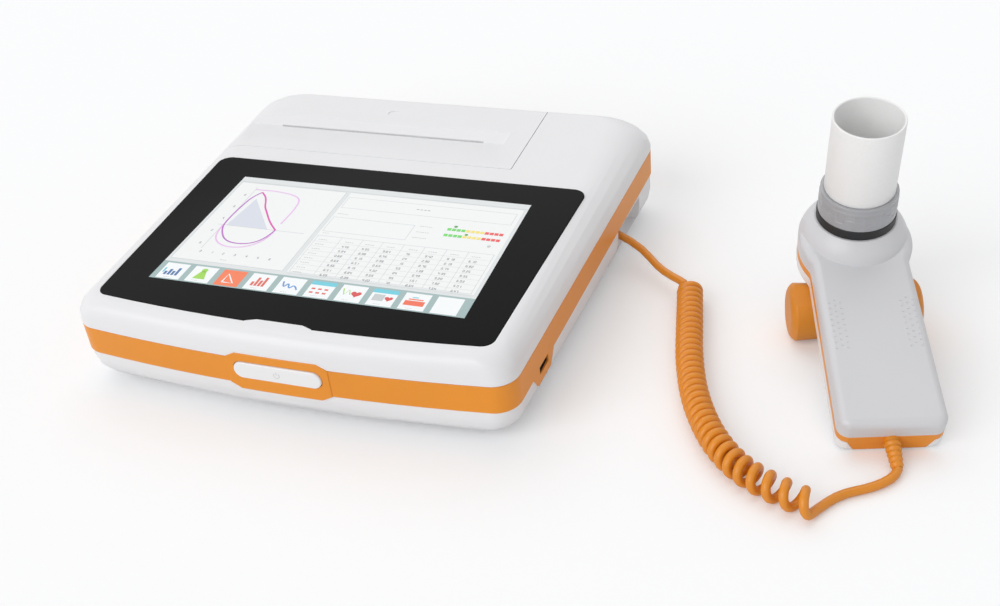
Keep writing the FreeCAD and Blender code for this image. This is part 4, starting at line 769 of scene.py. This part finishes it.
WINDOWS, WINDOW_TOP = 24, 12.2
WALL_RADIUS, WINDOW_DEPTH, STEP_DEPTH = 16.58, 0.26, 0.20
smoky_cup = finish("smoky_cup", (196, 197, 201), 0.18, 1.2, 0.004, 0.05, Transmission_Weight=0.35, IOR=1.49)
wall_height = np.concatenate([[4.55, 4.7], np.linspace(4.95, 15.35, 84), [15.6, 15.75, 15.8]])
angle = np.linspace(0, 2 * np.pi, 361)
pane = (angle * WINDOWS / (2 * np.pi)) % 1
across = edge_step(pane, 0.12, 0.08) * (1 - edge_step(pane, 0.88, 0.08))
tall = (angle * WINDOWS / (2 * np.pi)).astype(int) % 3 == 0
low_edge = np.where(tall, 7.4, 9.6)
up = edge_step(wall_height[:, None], low_edge, 0.3) * (1 - edge_step(wall_height[:, None], WINDOW_TOP, 0.3))
radius = WALL_RADIUS - WINDOW_DEPTH * across * up
radius -= STEP_DEPTH * edge_step(wall_height, 13.4, 0.25)[:, None]
radius -= np.interp(wall_height, [15.35, 15.6, 15.75, 15.8], [0, 0.05, 0.2, 0.45])[:, None]
outer = on_turbine(radius * np.cos(angle), radius * np.sin(angle), wall_height[:, None] + 0 * angle)
inner_r = np.array([14.9, 14.7, 14.63, 14.63, 13.2, 13.2, 14.4, 14.4, 16.55])
inner_h = np.array([15.8, 15.75, 15.5, 5.7, 5.7, -20.0, -20.0, 4.5, 4.5])
inner = on_turbine(inner_r[:, None] * np.cos(angle), inner_r[:, None] * np.sin(angle),
                   inner_h[:, None] + 0 * angle)
cup = grid("turbine_cup", np.concatenate([outer, inner, outer[:1]]), "turbine", smoky_cup)
sharpen(cup, 40)
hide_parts("turbine_body")
print("cup", len(cup.data.polygons), "faces, windows", WINDOWS)

# %% [markdown]
# ## Card tube and seal
#
# The tube is wound card, so its wall is matt, very slightly ridged along a spiral, and its rim is
# pressed round. The spiral is worked into the shader as a wave on the distance along the axis.

# %% Card tube
card_white, tree, main, add = shader("card_white")
place = add("ShaderNodeTexCoord")
lean = add("ShaderNodeMapping")
lean.inputs["Rotation"].default_value = (math.radians(9.7), math.radians(2.8), 0)
tree.links.new(place.outputs["Object"], lean.inputs["Vector"])
wave = add("ShaderNodeTexWave", Scale=42.0, Distortion=1.2, Detail=2.0)
wave.bands_direction = "Z"
tree.links.new(lean.outputs["Vector"], wave.inputs["Vector"])
fibre = noise(tree, add, 1.1, 5.0)
tint = add("ShaderNodeValToRGB")
tint.color_ramp.elements[0].color = (*linear((238, 238, 237)), 1)
tint.color_ramp.elements[1].color = (*linear((246, 246, 246)), 1)
tree.links.new(fibre.outputs["Fac"], tint.inputs["Fac"])
tree.links.new(tint.outputs["Color"], main.inputs["Base Color"])
main.inputs["Roughness"].default_value = 0.38
relief = add("ShaderNodeBump", Strength=0.12, Distance=0.00004)
tree.links.new(wave.outputs["Fac"], relief.inputs["Height"])
tree.links.new(relief.outputs["Normal"], main.inputs["Normal"])
tube_r = [13.9, 14.53, 14.53, 14.84, 14.9, 14.9, 14.86, 14.7, 14.42, 14.12, 13.96, 13.9, 13.9]
tube_h = [5.75, 5.75, 16.12, 16.16, 16.3, 51.2, 51.5, 51.72, 51.8, 51.7, 51.5, 51.2, 5.75]
tube = turned("card_tube", tube_r, tube_h, on_turbine, "mouthpiece_tube", card_white, 128)
sharpen(tube, 35)
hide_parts("mouthpiece")
dressed("head_seal", "console", soft_black, 0.4, 30, 3)
print("tube", len(tube.data.polygons), "faces")

# %% [markdown]
# ## Strain relief
#
# Where the cord enters the handset's heel, a soft sleeve keeps it from kinking: a taper with rings.
# Five tori on a cone would do. One profile is simpler and has soft valleys: the radius falls in a
# straight line, and a raised cosine adds five rings.

# %% Ribbed sleeve
RING_PITCH, RING_HEIGHT = 2.3, 0.34
s = np.linspace(-1.2, 12.8, 113)
taper = np.interp(s, [-1.2, 0, 12.8], [3.5, 3.5, 2.45])
rings = 0.5 * (1 - np.cos((s - 1.2) * 2 * np.pi / RING_PITCH)) * (s > 1.2) * (s < 12.7)
sleeve_r = np.concatenate([[0.2], taper + RING_HEIGHT * rings - 0.3, [2.0, 0.2]])
sleeve_s = np.concatenate([[-1.2], s, [13.0, 13.0]])
sleeve = turned("ribbed_sleeve", sleeve_r, sleeve_s, lambda x, y, h: on_handset(-h, x, 8.0 + y), "console",
                orange_vinyl, 48)
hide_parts("strain_relief")
print("sleeve rings", 5)

# %% [markdown]
# ## Everything behind, below and inside
#
# The rest of the solids already have the right shapes. Each gets the finish of what it is made of:
# steel pins and screws, rubber feet and platen, the printer's heat sink, boards, paper and battery.

# %% Finishes for the other solids
clear_vane = finish("clear_vane", (206, 210, 216), 0.15, 1.2, 0.004, 0.04, Transmission_Weight=0.4)
OTHER_FINISHES = {
    "display_panel": inner_grey, "display_bracket": zinc_sheet, "main_board": circuit_green,
    "lid_hinge_pin": bright_steel, "printer_frame": zinc_sheet, "print_head": ceramic_strip,
    "platen_roller": platen_rubber, "platen_gear": grey_white, "motor_pinion": gilt_contact,
    "feed_motor": bright_steel, "paper_bin": inner_grey, "paper_roll": thermal_paper,
    "paper_core": brown_card, "button_board": circuit_green, "data_port": soft_black,
    "power_socket": soft_black, "sensor_socket": inner_grey, "speaker": speaker_black,
    "battery_pack": battery_wrap, "battery_door": white_cover, "rubber_feet": foot_rubber,
    "case_screws": bright_steel, "sensor_plug": orange_vinyl, "handset_board": circuit_green,
    "swirler_low": clear_vane, "swirler_high": clear_vane, "turbine_axle": bright_steel,
    "turbine_rotor": soft_black, "optical_sensors": inner_grey, "handset_screws": bright_steel}
body_of_node = {n: b for b, names in frame["record"]["behaviour"]["bodies"].items() for n in names}
CLOSE_UP = {"data_port", "power_socket", "sensor_plug", "battery_door", "rubber_feet", "case_screws",
            "handset_screws", "lid_hinge_pin", "platen_roller", "paper_roll", "turbine_rotor", "swirler_high"}
for node, material in OTHER_FINISHES.items():
    if node in CLOSE_UP:
        dressed(node, body_of_node[node], material, 0.08)
    else:
        thing = frame["nodes"][node]
        thing.data.materials.clear()
        thing.data.materials.append(material)
print("solids with a finish", len(OTHER_FINISHES), "of", len(frame["nodes"]))

# %% [markdown]
# ## The cord is soft
#
# In use the cord bends and moves. This step prints its length and thickness.

# %% The cord's length and thickness
print("cord", round(CORD_LENGTH, 3), "m long,", 2 * CORD_RADIUS, "m thick")

# %% [markdown]
# ## The table top
#
# The object stands on a white table that runs to the horizon. Its far edge must melt into the white
# background, so the lens sees it with a little light of its own, which the object doesn't receive.

# %% Table top
FLOOR_LIFT, FLOOR_HALF_WIDTH, FLOOR_DROP = 0.15, 6.0, 0.0001
floor_white, tree, main, add = shader("floor_white")
main.inputs["Roughness"].default_value = 0.85
main.inputs["Specular IOR Level"].default_value = 0.15
speck = noise(tree, add, 0.6, 2.0)
tint = add("ShaderNodeValToRGB")
tint.color_ramp.elements[0].color = (0.872, 0.880, 0.888, 1)
tint.color_ramp.elements[1].color = (0.886, 0.894, 0.902, 1)
tree.links.new(speck.outputs["Fac"], tint.inputs["Fac"])
tree.links.new(tint.outputs["Color"], main.inputs["Base Color"])
seen = add("ShaderNodeLightPath")
lift = add("ShaderNodeMath", operation="MULTIPLY")
lift.inputs[1].default_value = FLOOR_LIFT
tree.links.new(seen.outputs["Is Camera Ray"], lift.inputs[0])
main.inputs["Emission Color"].default_value = (1, 1, 1, 1)
tree.links.new(lift.outputs[0], main.inputs["Emission Strength"])
corners = FLOOR_HALF_WIDTH * np.array([[-1, -1], [1, -1], [1, 1], [-1, 1]])
plane = np.c_[corners, np.full(4, -FLOOR_DROP)]
mesh = bpy.data.meshes.new("table_top")
mesh.from_pydata(plane.tolist(), [], [[0, 1, 2, 3]])
mesh.materials.append(floor_white)
table_top = bpy.data.objects.new("table_top", mesh)
bpy.context.collection.objects.link(table_top)
print("table top", 2 * FLOOR_HALF_WIDTH, "m wide")

# %% [markdown]
# ## An even sky
#
# A ring of lamps could light the scene, but each lamp's light falls off across the floor and leaves
# a grey horizon. A bright sky gives most of the light instead, evenly. What the lens, a reflection
# or glass sees of it is plain white, brighter than the light that it sheds.

# %% Sky
SKY_STRENGTH = 0.57
world = bpy.data.worlds.new("studio")
bpy.context.scene.world = world
world.use_nodes = True
sky = world.node_tree
back = next(n for n in sky.nodes if n.type == "BACKGROUND")
back.inputs["Color"].default_value = (1, 1, 1, 1)
rays = sky.nodes.new("ShaderNodeLightPath")
most = sky.nodes.new("ShaderNodeMath")
most.operation = "MAXIMUM"
sky.links.new(rays.outputs["Is Camera Ray"], most.inputs[0])
sky.links.new(rays.outputs["Is Transmission Ray"], most.inputs[1])
both = sky.nodes.new("ShaderNodeMath")
both.operation = "MAXIMUM"
sky.links.new(most.outputs[0], both.inputs[0])
sky.links.new(rays.outputs["Is Glossy Ray"], both.inputs[1])
level = sky.nodes.new("ShaderNodeMapRange")
level.inputs["To Min"].default_value = SKY_STRENGTH
level.inputs["To Max"].default_value = 1.0
sky.links.new(both.outputs[0], level.inputs["Value"])
sky.links.new(level.outputs["Result"], back.inputs["Strength"])
print("sky", SKY_STRENGTH)

# %% [markdown]
# ## Two wide suns
#
# The photograph's light comes softly from the front left and from behind. Two suns with very wide
# discs do the same: they model the rounded rims and lay a shadow with no edge. Together with the
# sky they light a level surface a little below 1, so that white plastic stays short of pure white.


# %% Suns
def sun(name, strength, width, aim):
    """A distant light with a wide disc, shining along a direction."""
    data = bpy.data.lights.new(name, "SUN")
    data.energy = strength
    data.angle = math.radians(width)
    lamp = bpy.data.objects.new(name, data)
    bpy.context.collection.objects.link(lamp)
    lamp.rotation_mode = "QUATERNION"
    lamp.rotation_quaternion = Vector(aim).to_track_quat("-Z", "Y")


sun("window_light", 0.62, 60, (0.25, -0.45, -0.86))
sun("front_light", 1.15, 45, (0.40, 0.76, -0.50))
scene = bpy.context.scene
scene.view_settings.view_transform = "Standard"
print("suns", len(bpy.data.lights))
